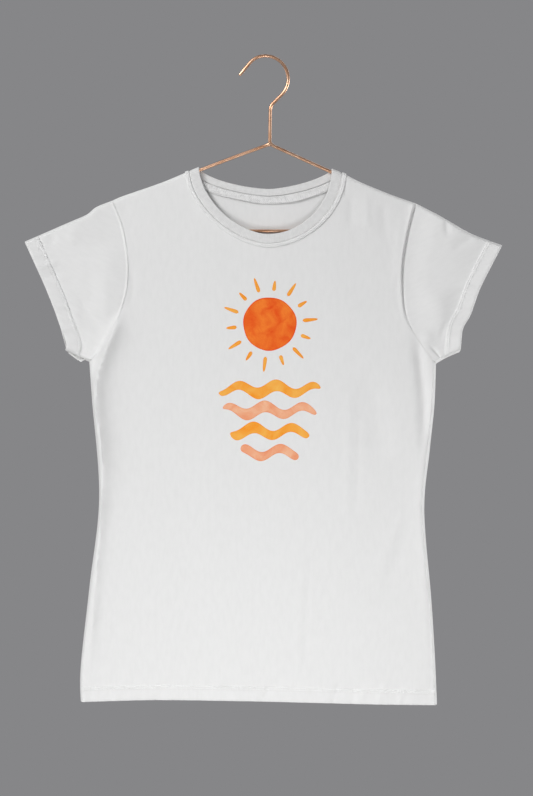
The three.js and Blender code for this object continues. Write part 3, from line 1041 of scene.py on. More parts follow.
@dataclass(frozen=True)
class WatercolourInk:
    """Water-based textile ink, screen printed as a wash: a thin matt film whose pigment clouds
    within a shape and pools darker along its edge."""

    ink: Ink
    cloud_mm: float = 16.0
    pool_mm: float = 1.6
    fleck_scale: float = 900.0

    def material(self) -> bpy.types.Material:
        """The ink's nodes: clouds between two strengths, a pooled rim and fine flecks."""
        material, tree = new_material(f"{self.ink.name.lower()}_textile_ink")
        place = along_yarns(tree)
        rim = add(tree, "Attribute", {"attribute_name": "rim"}).outputs["Fac"]
        scale = 1 / (self.cloud_mm * MM)
        cloud = add(tree, "TexNoise", Vector=place, Scale=scale, Detail=5.0, Distortion=0.6).outputs["Fac"]
        fleck = add(tree, "TexNoise", Vector=place, Scale=self.fleck_scale, Detail=2.0).outputs["Fac"]
        mixed = add(tree, "Math", {"operation": "MULTIPLY_ADD"}, n0=fleck, n1=0.25, n2=cloud).outputs[0]
        wash = add(tree, "MapRange", Value=mixed, From_Min=0.4, From_Max=0.85).outputs[0]
        reach = self.pool_mm * MM
        pool = add(tree, "MapRange", Value=rim, From_Max=reach, To_Min=0.55, To_Max=0.0).outputs[0]
        total = add(tree, "Math", {"operation": "ADD", "use_clamp": True}, n0=wash, n1=pool).outputs[0]
        bump = add(tree, "Bump", Strength=0.15, Distance=0.0002, Height=fleck)
        surface(
            tree,
            Base_Color=tint(tree, total, self.ink.value, (0.0, 1.0)),
            Roughness=0.8,
            IOR=1.48,
            Specular_IOR_Level=0.3,
            Normal=bump.outputs[0],
        )
        return material


@dataclass(frozen=True)
class StudioPaper:
    """Pale matt studio paper, coated: an even floor with hardly any gloss."""

    colour: str = "#E4E4E2"
    fibre_mm: float = 2.5
    name: str = "studio_paper"

    def material(self) -> bpy.types.Material:
        """The paper's nodes: one pale colour with a faint fibre."""
        material, tree = new_material(self.name)
        place = add(tree, "TexCoord").outputs["Object"]
        fibre = add(tree, "TexNoise", Vector=place, Scale=1 / (self.fibre_mm * MM)).outputs["Fac"]
        bump = add(tree, "Bump", Strength=0.02, Distance=0.0005, Height=fibre)
        surface(tree, Base_Color=linear(self.colour), Roughness=0.9, Normal=bump.outputs[0])
        return material


# ---------------------------------------------------------------- hanger


@dataclass
class WireHanger:
    """A bent wire hanger: an open hook, a short stem, two arms and a bar."""

    radius: float = 2.0
    sides: int = 24
    step: float = math.radians(3)
    hook_centre: tuple[float, float] = (-2.4, -26.4)
    hook_radius: float = 28.4
    nose_radius: float = 23.6
    nose_turn: float = math.radians(40)
    nose_start: float = math.radians(100)
    tip_length: float = 19.0
    stem_x: float = 3.8
    stem_bend: float = 5.0
    apex: tuple[float, float] = (3.1, -107.7)
    apex_bend: float = 6.0
    apex_clearance: float = 7.2
    bar_z: float = -215.5
    left_end: tuple[float, float, float] = (-206.5, 12.0, 2.2)
    right_end: tuple[float, float, float] = (204.8, 8.0, 0.0)
    weld: tuple[float, float, float] = (2.7, 2.3, 2.9)
    weld_inset: float = 0.6
    weld_rings: int = 14
    weld_cap: float = 0.05
    bend_points: int = 12
    arm_points: int = 24
    bar_points: int = 40
    dome_rings: int = 4
    crease: float = math.radians(60)

    def arc(self, centre: tuple[float, float], radius: float, start: float, end: float) -> np.ndarray:
        """Points of an arc in the hanger's plane, both ends included."""
        angle = np.linspace(start, end, max(3, math.ceil(abs(end - start) / self.step)))
        return np.stack([centre[0] + radius * np.cos(angle), centre[1] + radius * np.sin(angle)], axis=1)

    def bend(self, before: np.ndarray, corner: np.ndarray, after: np.ndarray, setback: float) -> np.ndarray:
        """A rounded bend between two straight runs of wire that meet at a corner."""
        start = corner + unit(before - corner) * setback
        end = corner + unit(after - corner) * setback
        t = np.linspace(0, 1, self.bend_points)[:, None]
        return (1 - t) ** 2 * start + 2 * t * (1 - t) * corner + t**2 * end

    def hook(self) -> np.ndarray:
        """The wire from the hook's free tip over its curl to the top of the stem."""
        nose_end = self.nose_start + self.nose_turn
        offset = self.hook_radius - self.nose_radius
        across = np.array([math.cos(self.nose_start), math.sin(self.nose_start)])
        nose_centre = np.array(self.hook_centre) + offset * across
        nose = self.arc(nose_centre, self.nose_radius, nose_end, self.nose_start)
        tip = nose[0] + np.array([-math.sin(nose_end), math.cos(nose_end)]) * self.tip_length
        curl = self.arc(self.hook_centre, self.hook_radius, self.nose_start, -math.pi / 4)
        leave = curl[-1]
        stem_top = np.array([self.stem_x, leave[1] - (leave[0] - self.stem_x)])
        stem = self.bend(leave, stem_top, np.array(self.apex), self.stem_bend)
        return np.vstack([tip, nose, curl[1:], stem])

    def arm(self, end: tuple[float, float, float]) -> np.ndarray:
        """An arm from the apex out to the bend at its end and round to the bar.

        Args:
            end: the x of the bend's centre, its radius and how far the arm bows up.
        Returns:
            The arm's points, without the apex.
        """
        x, radius, bow = end
        apex, outward = np.array(self.apex), math.copysign(1, x)
        centre = np.array([x, self.bar_z + radius])
        to_centre = centre - apex
        lift = math.asin(radius / np.linalg.norm(to_centre))
        upright = math.pi / 2 + math.atan2(to_centre[1], abs(to_centre[0])) + lift
        turn = self.arc((0, 0), radius, upright, -math.pi / 2) * np.array([outward, 1]) + centre
        t = np.linspace(0, 1, self.arm_points)[1:-1, None]
        run = apex + (turn[0] - apex) * t + np.array([0, bow]) * 4 * t * (1 - t)
        return np.vstack([run, turn])

    def path(self) -> np.ndarray:
        """The whole wire, from the hook's tip to the end that is welded to the stem's foot."""
        hook, apex = self.hook(), np.array(self.apex)
        right, left = self.arm(self.right_end), self.arm(self.left_end)
        foot = self.bend(hook[-1], apex, right[0], self.apex_bend)
        clear = right[np.abs(right[:, 0] - apex[0]) > self.apex_clearance]
        bar_x = np.linspace(right[-1, 0], left[-1, 0], self.bar_points)[1:-1]
        bar = np.stack([bar_x, np.full(len(bar_x), self.bar_z)], axis=1)
        weld = apex + unit(left[0] - apex) * self.radius
        return np.vstack([hook, foot, clear, bar, left[::-1], weld])

    def sweep(self, path: np.ndarray) -> tuple[np.ndarray, list]:
        """A round bar with domed ends along a path in the hanger's plane."""
        along = unit(np.gradient(path, axis=0))
        dome = np.linspace(math.pi / 2, 0, self.dome_rings + 2)[1:-1]
        at_start, at_end = along[0] * self.radius, along[-1] * self.radius
        head = [(path[0] - at_start * math.sin(d), along[0], math.cos(d)) for d in dome]
        tail = [(path[-1] + at_end * math.sin(d), along[-1], math.cos(d)) for d in dome[::-1]]
        rings = [*head, *((p, a, 1.0) for p, a in zip(path, along)), *tail]
        angle = np.arange(self.sides) * 2 * math.pi / self.sides
        points = []
        for centre, direction, share in rings:
            across = self.radius * share * np.cos(angle)
            x = centre[0] - across * direction[1]
            z = centre[1] + across * direction[0]
            points.append(np.stack([x, -self.radius * share * np.sin(angle), z], axis=1))
        poles = (path[0] - at_start, path[-1] + at_end)
        points.append(np.array([[x, 0, z] for x, z in poles]))
        faces = quads(len(rings), self.sides, True).tolist()
        last, first_pole = (len(rings) - 1) * self.sides, len(rings) * self.sides
        for k in range(self.sides):
            after = (k + 1) % self.sides
            faces.append([after, k, first_pole])
            faces.append([last + k, last + after, first_pole + 1])
        return np.concatenate(points), faces

    def weld_bead(self) -> tuple[np.ndarray, list]:
        """The small bead that joins the left arm to the stem's foot."""
        rings = self.weld_rings
        polar, angle = np.meshgrid(
            np.linspace(self.weld_cap, math.pi - self.weld_cap, rings),
            np.arange(self.sides) * 2 * math.pi / self.sides,
            indexing="ij",
        )
        out = np.sin(polar)
        ball = np.stack([out * np.cos(angle), -out * np.sin(angle), np.cos(polar)], axis=2)
        centre = np.array([self.apex[0] - self.weld_inset, 0, self.apex[1]])
        faces = quads(rings, self.sides, True).tolist()
        faces.append(list(range(self.sides))[::-1])
        faces.append(list(range((rings - 1) * self.sides, rings * self.sides)))
        return ball.reshape(-1, 3) * np.array(self.weld) + centre, faces

    def build(self, copper: bpy.types.Material) -> bpy.types.Object:
        """Makes the hanger as one solid wire."""
        piece = mesh_object("wire_hanger", *self.sweep(self.path()))
        bead = mesh_object("weld_bead", *self.weld_bead())
        face_outward(piece)
        face_outward(bead)
        union = piece.modifiers.new("weld", "BOOLEAN")
        union.operation, union.object, union.solver, union.use_self = "UNION", bead, "EXACT", True
        settle(piece)
        bpy.data.objects.remove(bead)
        piece.data.set_sharp_from_angle(angle=self.crease)
        return dress(piece, copper, "copper_wire", "hanger")


# ---------------------------------------------------------------- shirt


@dataclass(frozen=True)
class HemTurn:
    """How a hem is turned up: fine rows over its outer side, round its edge and up inside.

    Rows are distances from the edge or, by a needle, from that needle's row of stitches.
    """

    radius: float = 0.4
    turn_steps: int = 6
    inside: tuple[float, ...] = (20.0, 17.0, 14.0, 11.0, 8.0, 5.0, 2.5, 1.0)
    outside: tuple[float, ...] = (1.0, 2.0, 3.5, 5.5, 7.8, 10.2, 12.4)
    by_lower_needle: tuple[float, ...] = (-1.0, -0.4, 0.2, 0.8)
    by_upper_needle: tuple[float, ...] = (-0.6, 0.0, 0.6, 1.3, 2.2, 3.6, 5.2)
    top: float = 24.0

    def rows(self, needles: tuple[float, float]) -> list[tuple[float, float]]:
        """The rows of a turned hem, from the inner layer round to the outer one.

        Args:
            needles: the distances of the upper and the lower row of stitches from the edge.
        Returns:
            The distance from the edge and the lift of each row.
        """
        upper, lower = needles
        inner = [(q, -2 * self.radius) for q in self.inside]
        angles = np.linspace(0, math.pi, self.turn_steps + 1)
        turn = [(self.radius * (1 - math.sin(a)), -self.radius * (1 + math.cos(a))) for a in angles]
        outer = [*self.outside, *(lower + q for q in self.by_lower_needle)]
        outer += [*(upper + q for q in self.by_upper_needle), self.top]
        return inner + turn + [(q, 0.0) for q in outer]


@dataclass
class BodyPanel:
    """The front or the back of the shirt's body, hemmed at its foot."""

    face: Face
    cloth: HungCloth
    side_gap: float = 0.05
    fold_steps: int = 16
    shoulder_steps: int = 26
    neck_steps: int = 112
    side_rows: int = 106
    armhole_rows: int = 54
    tuck: float = 1.0
    hem_turn: HemTurn = HemTurn()

    def side_edge(self, half: Half) -> np.ndarray:
        """The panel's edge from the top of the hem up the side and round the armhole."""
        seam = self.cloth.seams[half.name]
        side = half.curve("side").backwards()
        rows = np.linspace(self.hem_turn.top, side.length - seam.gap, self.side_rows + 1)
        armhole = seam.line(-1).backwards()
        shoulder = fold_spacing(self.cloth.reach, self.fold_steps)
        around = spread(armhole.length, np.zeros(1), shoulder, self.armhole_rows)
        return np.vstack([side.after(rows)[:-1], armhole.after(around)])

    def shoulder_line(self, half: Half, corner: np.ndarray, tip: np.ndarray) -> np.ndarray:
        """The panel's edge along the shoulder, from the neck out to the armhole."""
        curve = half.curve("shoulder")
        start, end = curve.reach(np.stack([corner, tip]))
        fold = fold_spacing(self.cloth.reach, self.fold_steps)
        return curve.after(start + spread(end - start, np.zeros(1), fold, self.shoulder_steps))

    def top_edge(self, left_tip: np.ndarray, right_tip: np.ndarray) -> np.ndarray:
        """The panel's upper edge: shoulder, neckline and shoulder."""
        band = NECK[self.face]
        neck = band.at(np.linspace(0, band.length, self.neck_steps + 1), band.width - self.tuck)
        left = self.shoulder_line(LEFT, neck[0], left_tip)[::-1]
        right = self.shoulder_line(RIGHT, neck[-1], right_tip)
        return np.vstack([left[:-1], neck, right[1:]])

    def outline_grid(self) -> tuple[np.ndarray, np.ndarray]:
        """The panel's grid in the outline, and the lift of each row."""
        left, right = self.side_edge(LEFT), self.side_edge(RIGHT)
        top = self.top_edge(left[-1], right[-1])
        fold = fold_spacing(self.cloth.reach, self.fold_steps)
        even = len(top) - 1 - 2 * self.fold_steps
        foot = HEM_LINE.after(spread(HEM_LINE.length, fold, fold, even))
        sides = [half.curve("side").backwards() for half in HALVES]
        rows = self.hem_turn.rows(self.cloth.hems[self.face]["body"].needle_lines())
        hem = [parallel(foot, left_of(foot), q, tuple(side.after(q) for side in sides)) for q, _ in rows]
        patch = fill_patch(hem[-1], top, left, right)
        lifts = np.array([lift for _, lift in rows] + [0.0] * (len(patch) - 1))
        return np.concatenate([np.array(hem), patch[1:]]), lifts

    def build(self, jersey: bpy.types.Material) -> bpy.types.Object:
        """Makes the panel as one sheet with its hem turned up."""
        flat, lifts = self.outline_grid()
        grid = self.cloth.place_grid(flat, self.face, lifts)
        grid[..., 1] += self.face.value * self.side_gap
        side = self.face.name.lower()
        piece = grid_object(f"{side}_body", grid, grain=grain(flat))
        thicken(piece, JERSEY_THICKNESS)
        return dress(piece, jersey, "jersey", f"{side}_panel")


@dataclass
class Sleeve:
    """A short set-in sleeve: a flattened tube from the armhole to its turned cuff."""

    half: Half
    cloth: HungCloth
    fold_steps: int = 15
    even_columns: int = 44
    long_rows: int = 30
    seam_rows: tuple[float, ...] = (0.0, 0.35, 0.8, 1.3, 1.9, 2.6, 3.4, 4.4, 5.6)
    slope_deg: float = 62.0
    hem_turn: HemTurn = HemTurn()

    def columns(self, curve: PlaneCurve) -> np.ndarray:
        """The points at which the sleeve's columns cross a curve from the top fold down."""
        fold = fold_spacing(self.cloth.reach, self.fold_steps)
        return curve.after(spread(curve.length, fold, fold, self.even_columns))

    def outline_grid(self, face: Face) -> tuple[np.ndarray, np.ndarray]:
        """One face of the sleeve from the armhole to the cuff, and the lift of each row."""
        seam, hem = self.cloth.seams[self.half.name], self.cloth.hems[face][self.half.name]
        folds = self.half.curve("sleeve_top"), self.half.curve("underarm").backwards()
        armhole, cuff = self.columns(seam.line(1)), self.columns(hem.curve)
        outward, inward = left_of(armhole) * self.half.sign, -left_of(cuff) * self.half.sign
        start, end, sides = [], [], []
        for a in self.seam_rows:
            on_folds = tuple(fold.after(seam.gap + a) for fold in folds)
            start.append(parallel(armhole, outward, a, on_folds))
        rows = self.hem_turn.rows(hem.needle_lines())[::-1]
        for q, _ in rows:
            on_folds = tuple(fold.after(fold.length - q) for fold in folds)
            end.append(parallel(cuff, inward, q, on_folds))
        first = seam.gap + self.seam_rows[-1]
        for fold in folds:
            ways = np.linspace(first, fold.length - self.hem_turn.top, self.long_rows + 1)
            sides.append(fold.after(ways))
        patch = fill_patch(start[-1], end[0], *sides)
        lifts = [0.0] * (len(start) + len(patch) - 2) + [lift for _, lift in rows]
        return np.concatenate([np.array(start), patch[1:-1], np.array(end)]), np.array(lifts)

    def build(self, jersey: bpy.types.Material) -> bpy.types.Object:
        """Makes the sleeve as one sheet closed round its top fold and its underarm seam."""
        flats, grids = [], []
        for face in Face:
            flat, lifts = self.outline_grid(face)
            flats.append(ring_part(flat, face))
            grids.append(ring_part(self.cloth.place_grid(flat, face, lifts), face))
        turn = -self.half.sign * math.radians(self.slope_deg)
        yarns = grain(np.concatenate(flats, axis=1), turn)
        name = f"{self.half.name}_sleeve_cloth"
        piece = grid_object(name, np.concatenate(grids, axis=1), True, grain=yarns)
        thicken(piece, JERSEY_THICKNESS)
        return dress(piece, jersey, "jersey", f"{self.half.name}_sleeve")


@dataclass
class NeckTrim:
    """The folded rib round the neck, the strip that is stitched down beside it and the tape.

    Rows are distances from the band's inner edge. The rib's cut edge is given by how far each of
    its rows lies in from the rib's width, and how far it is lifted. The tape's seams are given
    by how far each lies in from the tape's edge, and how far it sinks into it. Each wave of the
    tape's free edge has a height, a length for one radian and a phase.
    """

    cloth: HungCloth
    layer: float = 0.7
    rib_width: float = 11.4
    rib_cut: tuple = ((0.0, -0.6), (0.3, -0.2), (0.9, 0.25))
    rib_outside: tuple[float, ...] = (9.6, 8.0, 6.4, 4.8, 3.4, 2.2, 1.2, 0.6)
    rib_inside: tuple[float, ...] = (0.8, 1.6, 3.0, 5.0, 7.0, 8.2)
    turn_radius: float = 0.4
    turn_steps: int = 6
    corner_reach: float = 14.0
    corner_steps: int = 9
    column_width: float = 2.1
    strip_edges: tuple[float, float] = (11.8, 15.9)
    strip_top: float = 1.5
    strip_groove: float = 1.15
    groove_reach: float = 0.4
    stitch_rows: tuple[float, float] = (12.7, 14.7)
    stitch_lift: float = 1.55
    tape_span: tuple[float, float] = (9.4, 18.2)
    tape_shares: tuple[float, float] = (0.1, 0.9)
    tape_grid: tuple[int, int] = (9, 90)
    tape_thickness: float = 0.7
    tape_lift: float = -1.6
    tape_flare: float = 1.5
    tape_waves: tuple = ((0.35, 17.0, 0.0), (0.25, 7.3, 1.0))
    tape_seams: tuple = ((1.3, 0.15), (1.5, 0.65))

    def ring(self, profile: list[tuple[float, float]]) -> tuple[np.ndarray, np.ndarray]:
        """Carries a profile round the neck.

        Args:
            profile: the distance from the band's inner edge and the lift of each row.
        Returns:
            The grid in space and the grain of its points.
        """
        insets, lifts = np.array(profile).T
        ends = fold_spacing(self.corner_reach, self.corner_steps)
        grids, cells, start = [], [], 0.0
        for face, band in NECK.items():
            even = int((band.length - 2 * self.corner_reach) / self.column_width)
            ways = spread(band.length, ends, ends, even)
            flat = band.at(np.broadcast_to(ways, (len(insets), len(ways))), insets[:, None])
            grid = self.cloth.place_grid(flat, face, lifts)
            along = start + (ways if face is Face.FRONT else band.length - ways)
            cell = np.stack(np.broadcast_arrays(along[None], insets[:, None], 0.0), axis=2)
            grids.append(ring_part(grid, face))
            cells.append(ring_part(cell, face))
            start += band.length
        return np.concatenate(grids, axis=1), np.concatenate(cells, axis=1).reshape(-1, 3)

    def build_rib(self, rib: bpy.types.Material) -> bpy.types.Object:
        """Makes the rib: one strip folded double at the neck's edge."""
        r = self.turn_radius
        outer = [(self.rib_width - inset, lift) for inset, lift in self.rib_cut]
        outer += [(m, r) for m in self.rib_outside]
        angles = np.linspace(0, math.pi, self.turn_steps + 1)
        turn = [(r * (1 - math.sin(a)), r * math.cos(a)) for a in angles]
        inner = [(m, -r) for m in self.rib_inside]
        grid, cells = self.ring(outer + turn + inner)
        piece = grid_object("neck_band", grid, True, grain=cells)
        thicken(piece, self.layer)
        return dress(piece, rib, "rib_knit", "neck_rib")

    def build_strip(self, jersey: bpy.types.Material) -> bpy.types.Object:
        """Makes the strip of body cloth that is folded back and stitched down beside the rib.

        It rises beside the rib, dips under each row of stitches and falls to the body.

        Args:
            jersey: the body's cloth.
        Returns:
            The piece.
        """
        start, end = self.strip_edges
        row, second = self.stitch_rows
        top, low, reach = self.strip_top, self.strip_groove, self.groove_reach
        profile = [(start, -0.3), (start + 0.15, 0.5), (start + 0.5, top - 0.1)]
        profile += [(row - reach, top), (row, low), (row + reach, top), ((row + second) / 2, top + 0.15)]
        profile += [(second - reach, top), (second, low), (second + reach, top + 0.05)]
        profile += [(end - 0.2, top), (end, top - 0.2), (end + 0.3, top / 2)]
        grid, cells = self.ring(profile)
        piece = grid_object("neck_seam_strip", grid, True, grain=cells)
        thicken(piece, self.layer)
        return dress(piece, jersey, "jersey")

    def tape_place(self, ways: np.ndarray, inset: float, lift: float) -> np.ndarray:
        """Points of the tape, which waves a little where it isn't sewn down."""
        low, high = self.tape_span
        free = (inset - low) / (high - low)
        waver = sum(height * np.sin(ways / length + phase) for height, length, phase in self.tape_waves)
        away = lift - self.tape_flare * free * (0.6 + 0.4 * np.sin(ways / 11.0 + 0.6))
        flat = NECK[Face.BACK].at(ways, inset + waver * free)
        return self.cloth.place(flat, Face.BACK, away)

    def tape_stitch_rows(self, stitching: "Stitching") -> list:
        """The rows of stitches along both edges of the tape."""
        start, end = (NECK[Face.BACK].length * share for share in self.tape_shares)
        ways = start + stitching.samples(end - start)
        low, high = self.tape_span
        top = self.tape_lift - self.tape_thickness / 2
        (low_in, low_sunk), (high_in, high_sunk) = self.tape_seams
        places = ((low + low_in, top - low_sunk), (high - high_in, top - high_sunk))
        return [(NECK[Face.BACK].at(ways, inset), Face.BACK, lift) for inset, lift in places]

    def build_tape(self, tape: bpy.types.Material) -> bpy.types.Object:
        """Makes the tape that covers the seam inside the back of the neck."""
        low, high = self.tape_span
        rows, columns = self.tape_grid
        ways = np.linspace(*(NECK[Face.BACK].length * share for share in self.tape_shares), columns)
        insets = np.linspace(low, high, rows)
        grid = np.array([self.tape_place(ways, m, self.tape_lift) for m in insets])
        cells = np.stack(np.broadcast_arrays(ways[None], insets[:, None] - (low + high) / 2, 0.0), axis=2)
        piece = grid_object("neck_tape_cloth", grid, grain=cells.reshape(-1, 3))
        thicken(piece, self.tape_thickness)
        return dress(piece, tape, "cotton_tape", "neck_tape")


# ---------------------------------------------------------------- stitches


@dataclass
class Stitching:
    """Rows of short threads, each a bowed capsule that dips into the cloth at its ends."""

    cloth: HungCloth
    thread: bpy.types.Material
    pitch: float = 3.2
    length: float = 2.8
    radius: float = 0.36
    dip: float = 0.35
    sides: int = 6
    shares: tuple[float, ...] = (0.45, 0.92, 1.0, 0.92, 0.45)
    probe: float = 0.2
    samples_of_line: int = 240

    def samples(self, length: float) -> np.ndarray:
        """The distances along a row of the rings of each of its stitches."""
        count = int((length - self.pitch) / self.pitch)
        starts = (length - count * self.pitch) / 2 + np.arange(count) * self.pitch
        return starts[:, None] + np.linspace(0, self.length, len(self.shares))[None]

    def shells(self, flat: np.ndarray, face: Face, lift: float) -> np.ndarray:
        """Makes the vertices of one row's threads.

        Args:
            flat: the outline point of each ring of each stitch.
            face: the face of the shirt.
            lift: how far the thread's middle lies off the cloth's middle.
        Returns:
            The points, thread by thread and ring by ring.
        """
        count, rings = flat.shape[:2]
        points = flat.reshape(-1, 2)
        base = self.cloth.place(points, face, lift)
        beyond = self.cloth.place(points, face, lift + math.copysign(self.probe, lift))
        normal = unit(beyond - base).reshape(count, rings, 3)
        base = base.reshape(count, rings, 3)
        across = np.cross(unit(base[:, -1:] - base[:, :1]), normal)
        share = np.array(self.shares)
        base = base + normal * ((share - 1) * self.dip)[None, :, None]
        angle = np.arange(self.sides) * 2 * math.pi / self.sides
        around = normal[:, :, None] * np.cos(angle)[:, None] + across[:, :, None] * np.sin(angle)[:, None]
        return (base[:, :, None] + around * (self.radius * share)[None, :, None, None]).reshape(-1, 3)

    def faces(self, count: int) -> list:
        """The sides and the two ends of each of so many threads."""
        rings = len(self.shares)
        per = rings * self.sides
        ends = [list(range(self.sides))[::-1], list(range(per - self.sides, per))]
        one = quads(rings, self.sides, True).tolist() + ends
        return [[i + n * per for i in corners] for n in range(count) for corners in one]

    def build(self, name: str, rows: list, slot: str) -> bpy.types.Object:
        """Makes one piece of several rows of stitches.

        Args:
            name: the piece's name.
            rows: the outline points, the face and the lift of each row.
            slot: the name of a material slot, which is not used.
        Returns:
            The piece.
        """
        points = np.concatenate([self.shells(*row) for row in rows])
        piece = mesh_object(name, points, self.faces(sum(len(flat) for flat, _, _ in rows)))
        face_outward(piece)
        return dress(piece, self.thread, slot)

    def hem_rows(self, hem: TurnedHem, inward: int, face: Face) -> list:
        """The two needle rows of a hem.

        Args:
            hem: the hem.
            inward: 1 where the cloth lies to the left of the hem's curve, else -1.
            face: the face of the shirt.
        Returns:
            Rows for build.
        """
        dense = hem.curve.even(self.samples_of_line)
        lines = [PlaneCurve(dense + left_of(dense) * inward * distance) for distance in hem.needle_lines()]
        return [(line.after(self.samples(line.length)), face, hem.thread_lift) for line in lines]


# ---------------------------------------------------------------- print


@dataclass
class ChestPrint:
    """A sun over four waves, printed on the chest in washes of ink.

    The sun's rings are shares of its radius, and each wobble of its rim has a share of the
    radius, a count round the rim and a phase. A grid is points along by points across.
    """

    cloth: HungCloth
    sun: tuple[float, float] = (3.0, -331.0)
    sun_radius: float = 33.0
    sun_rings: tuple[float, ...] = (0.02, 0.12, 0.25, 0.4, 0.55, 0.7, 0.82, 0.91, 0.97, 1.0)
    sun_sides: int = 96
    wobbles: tuple = ((0.012, 3, 1.0), (0.008, 7, 0.0))
    ray_span: tuple[float, float] = (41.0, 60.0)
    ray_shorter: float = 6.0
    ray_width: float = 5.5
    ray_taper: float = 0.55
    ray_tip: float = 0.004
    ray_grid: tuple[int, int] = (14, 7)
    first_ray: float = 0.1
    rays: int = 14
    waves_top: float = -412.0
    wave_pitch: float = 26.0
    wave_widths: tuple[float, ...] = (126.0, 116.0, 98.0, 72.0)
    wave_height: float = 15.0
    wave_tip: float = 0.003
    wave_grid: tuple[int, int] = (90, 11)
    wave_shift: float = 1.9
    swing: float = 5.0
    swing_length: float = 46.0
    film: float = 0.1
    lift: float = 0.44

    def disc(self) -> tuple[np.ndarray, np.ndarray]:
        """The sun's grid of outline points, and how far each lies from its rim."""
        radii = np.array(self.sun_rings)
        angle = np.linspace(0, 2 * math.pi, self.sun_sides + 1)[:-1]
        wobble = sum((size * np.sin(count * angle + phase) for size, count, phase in self.wobbles), 1.0)
        reach = radii[:, None] * self.sun_radius * wobble[None]
        grid = np.stack([self.sun[0] + reach * np.cos(angle), self.sun[1] + reach * np.sin(angle)], axis=2)
        return grid, np.broadcast_to(self.sun_radius * (1 - radii)[:, None], reach.shape)

    def ray(self, number: int) -> tuple[np.ndarray, np.ndarray]:
        """One of the sun's rays, long and short by turns."""
        turn = 2 * math.pi * number / self.rays + self.first_ray
        start, end = self.ray_span
        end -= self.ray_shorter * (number % 2)
        along = np.linspace(0, 1, self.ray_grid[0])[:, None]
        across = np.linspace(-1, 1, self.ray_grid[1])[None]
        body = np.sqrt(np.clip(1 - (2 * along - 1) ** 4, self.ray_tip, 1))
        width = self.ray_width * body * (1 - self.ray_taper * along) / 2
        way = start + (end - start) * along + 0 * across
        off = across * width
        x = self.sun[0] + way * math.cos(turn) - off * math.sin(turn)
        z = self.sun[1] + way * math.sin(turn) + off * math.cos(turn)
        return np.stack([x, z], axis=2), width * (1 - np.abs(across))

    def wave(self, number: int) -> tuple[np.ndarray, np.ndarray]:
        """One of the waves under the sun, swelling and thinning along its way."""
        half = self.wave_widths[number] / 2
        along = np.linspace(-1, 1, self.wave_grid[0])[:, None]
        across = np.linspace(-1, 1, self.wave_grid[1])[None]
        x = self.sun[0] + half * along
        phase = 2 * math.pi * x / self.swing_length + number * self.wave_shift
        middle = self.waves_top - self.wave_pitch * number + self.swing * np.sin(phase)
        body = np.clip(1 - along**6, self.wave_tip, 1) ** 0.5
        width = self.wave_height / 2 * body * (0.85 + 0.15 * np.cos(phase * 0.5))
        return np.stack([x + 0 * across, middle + width * across], axis=2), width * (1 - np.abs(across))

    def film_of(self, name: str, shapes: list, ring: bool, ink: Ink) -> bpy.types.Object:
        """Makes one ink film of several shapes."""
        points, faces, grains, rims, used = [], [], [], [], 0
        for flat, rim in shapes:
            rows, columns = flat.shape[:2]
            points.append(self.cloth.place_grid(flat, Face.FRONT, self.lift).reshape(-1, 3))
            faces += (quads(rows, columns, ring) + used).tolist()
            if ring:
                faces.append([used + i for i in range(columns)][::-1])
            grains.append(grain(flat))
            rims.append(rim.ravel())
            used += rows * columns
        data = {"grain": np.concatenate(grains), "rim": np.concatenate(rims)}
        piece = mesh_object(name, np.concatenate(points), faces, **data)
        thicken(piece, self.film)
        return dress(piece, WatercolourInk(ink).material(), "jersey")

    def build(self) -> list[bpy.types.Object]:
        """Makes the print's films."""
        rays = [self.ray(n) for n in range(self.rays)]
        waves = [self.wave(n) for n in range(len(self.wave_widths))]
        return [
            self.film_of("print_sun", [self.disc()], True, Ink.ORANGE),
            self.film_of("print_rays_and_waves", rays + waves[::2], False, Ink.AMBER),
            self.film_of("print_pale_waves", waves[1::2], False, Ink.PEACH),
        ]


# ---------------------------------------------------------------- studio


@dataclass(frozen=True)
class SoftBox:
    """A square soft light that faces a target, in metres."""

    name: str
    place: tuple[float, float, float]
    size: float
    watts: float
    target: tuple[float, float, float] = (0, 0, -0.45)

    def build(self) -> None:
        """Hangs the lamp and turns it to its target."""
        data = bpy.data.lights.new(self.name, "AREA")
        data.shape, data.size, data.energy = "SQUARE", self.size, self.watts
        lamp = bpy.data.objects.new(self.name, data)
        lamp.location = self.place
        aim = Vector(self.target) - Vector(self.place)
        lamp.rotation_euler = aim.to_track_quat("-Z", "Y").to_euler()
        bpy.context.scene.collection.objects.link(lamp)


LIGHTS = (
    SoftBox("key", (-3.2, -3.3, 1.9), 1.6, 124.0),
    SoftBox("front_fill", (0.6, -3.2, -0.2), 1.0, 3.0),
    SoftBox("top", (-0.3, -0.25, 0.25), 0.25, 0.45, (-0.1, 0, -0.25)),
    SoftBox("low_fill", (0.0, -0.9, -0.95), 0.4, 3.6, (0, 0, -0.75)),
    SoftBox("left_rim", (-2.0, 0.9, -0.35), 0.9, 6.0),
    SoftBox("right_rim", (2.0, 0.35, -0.45), 0.9, 22.0),
    SoftBox("back", (0.6, 2.4, 0.6), 1.6, 16.0),
)


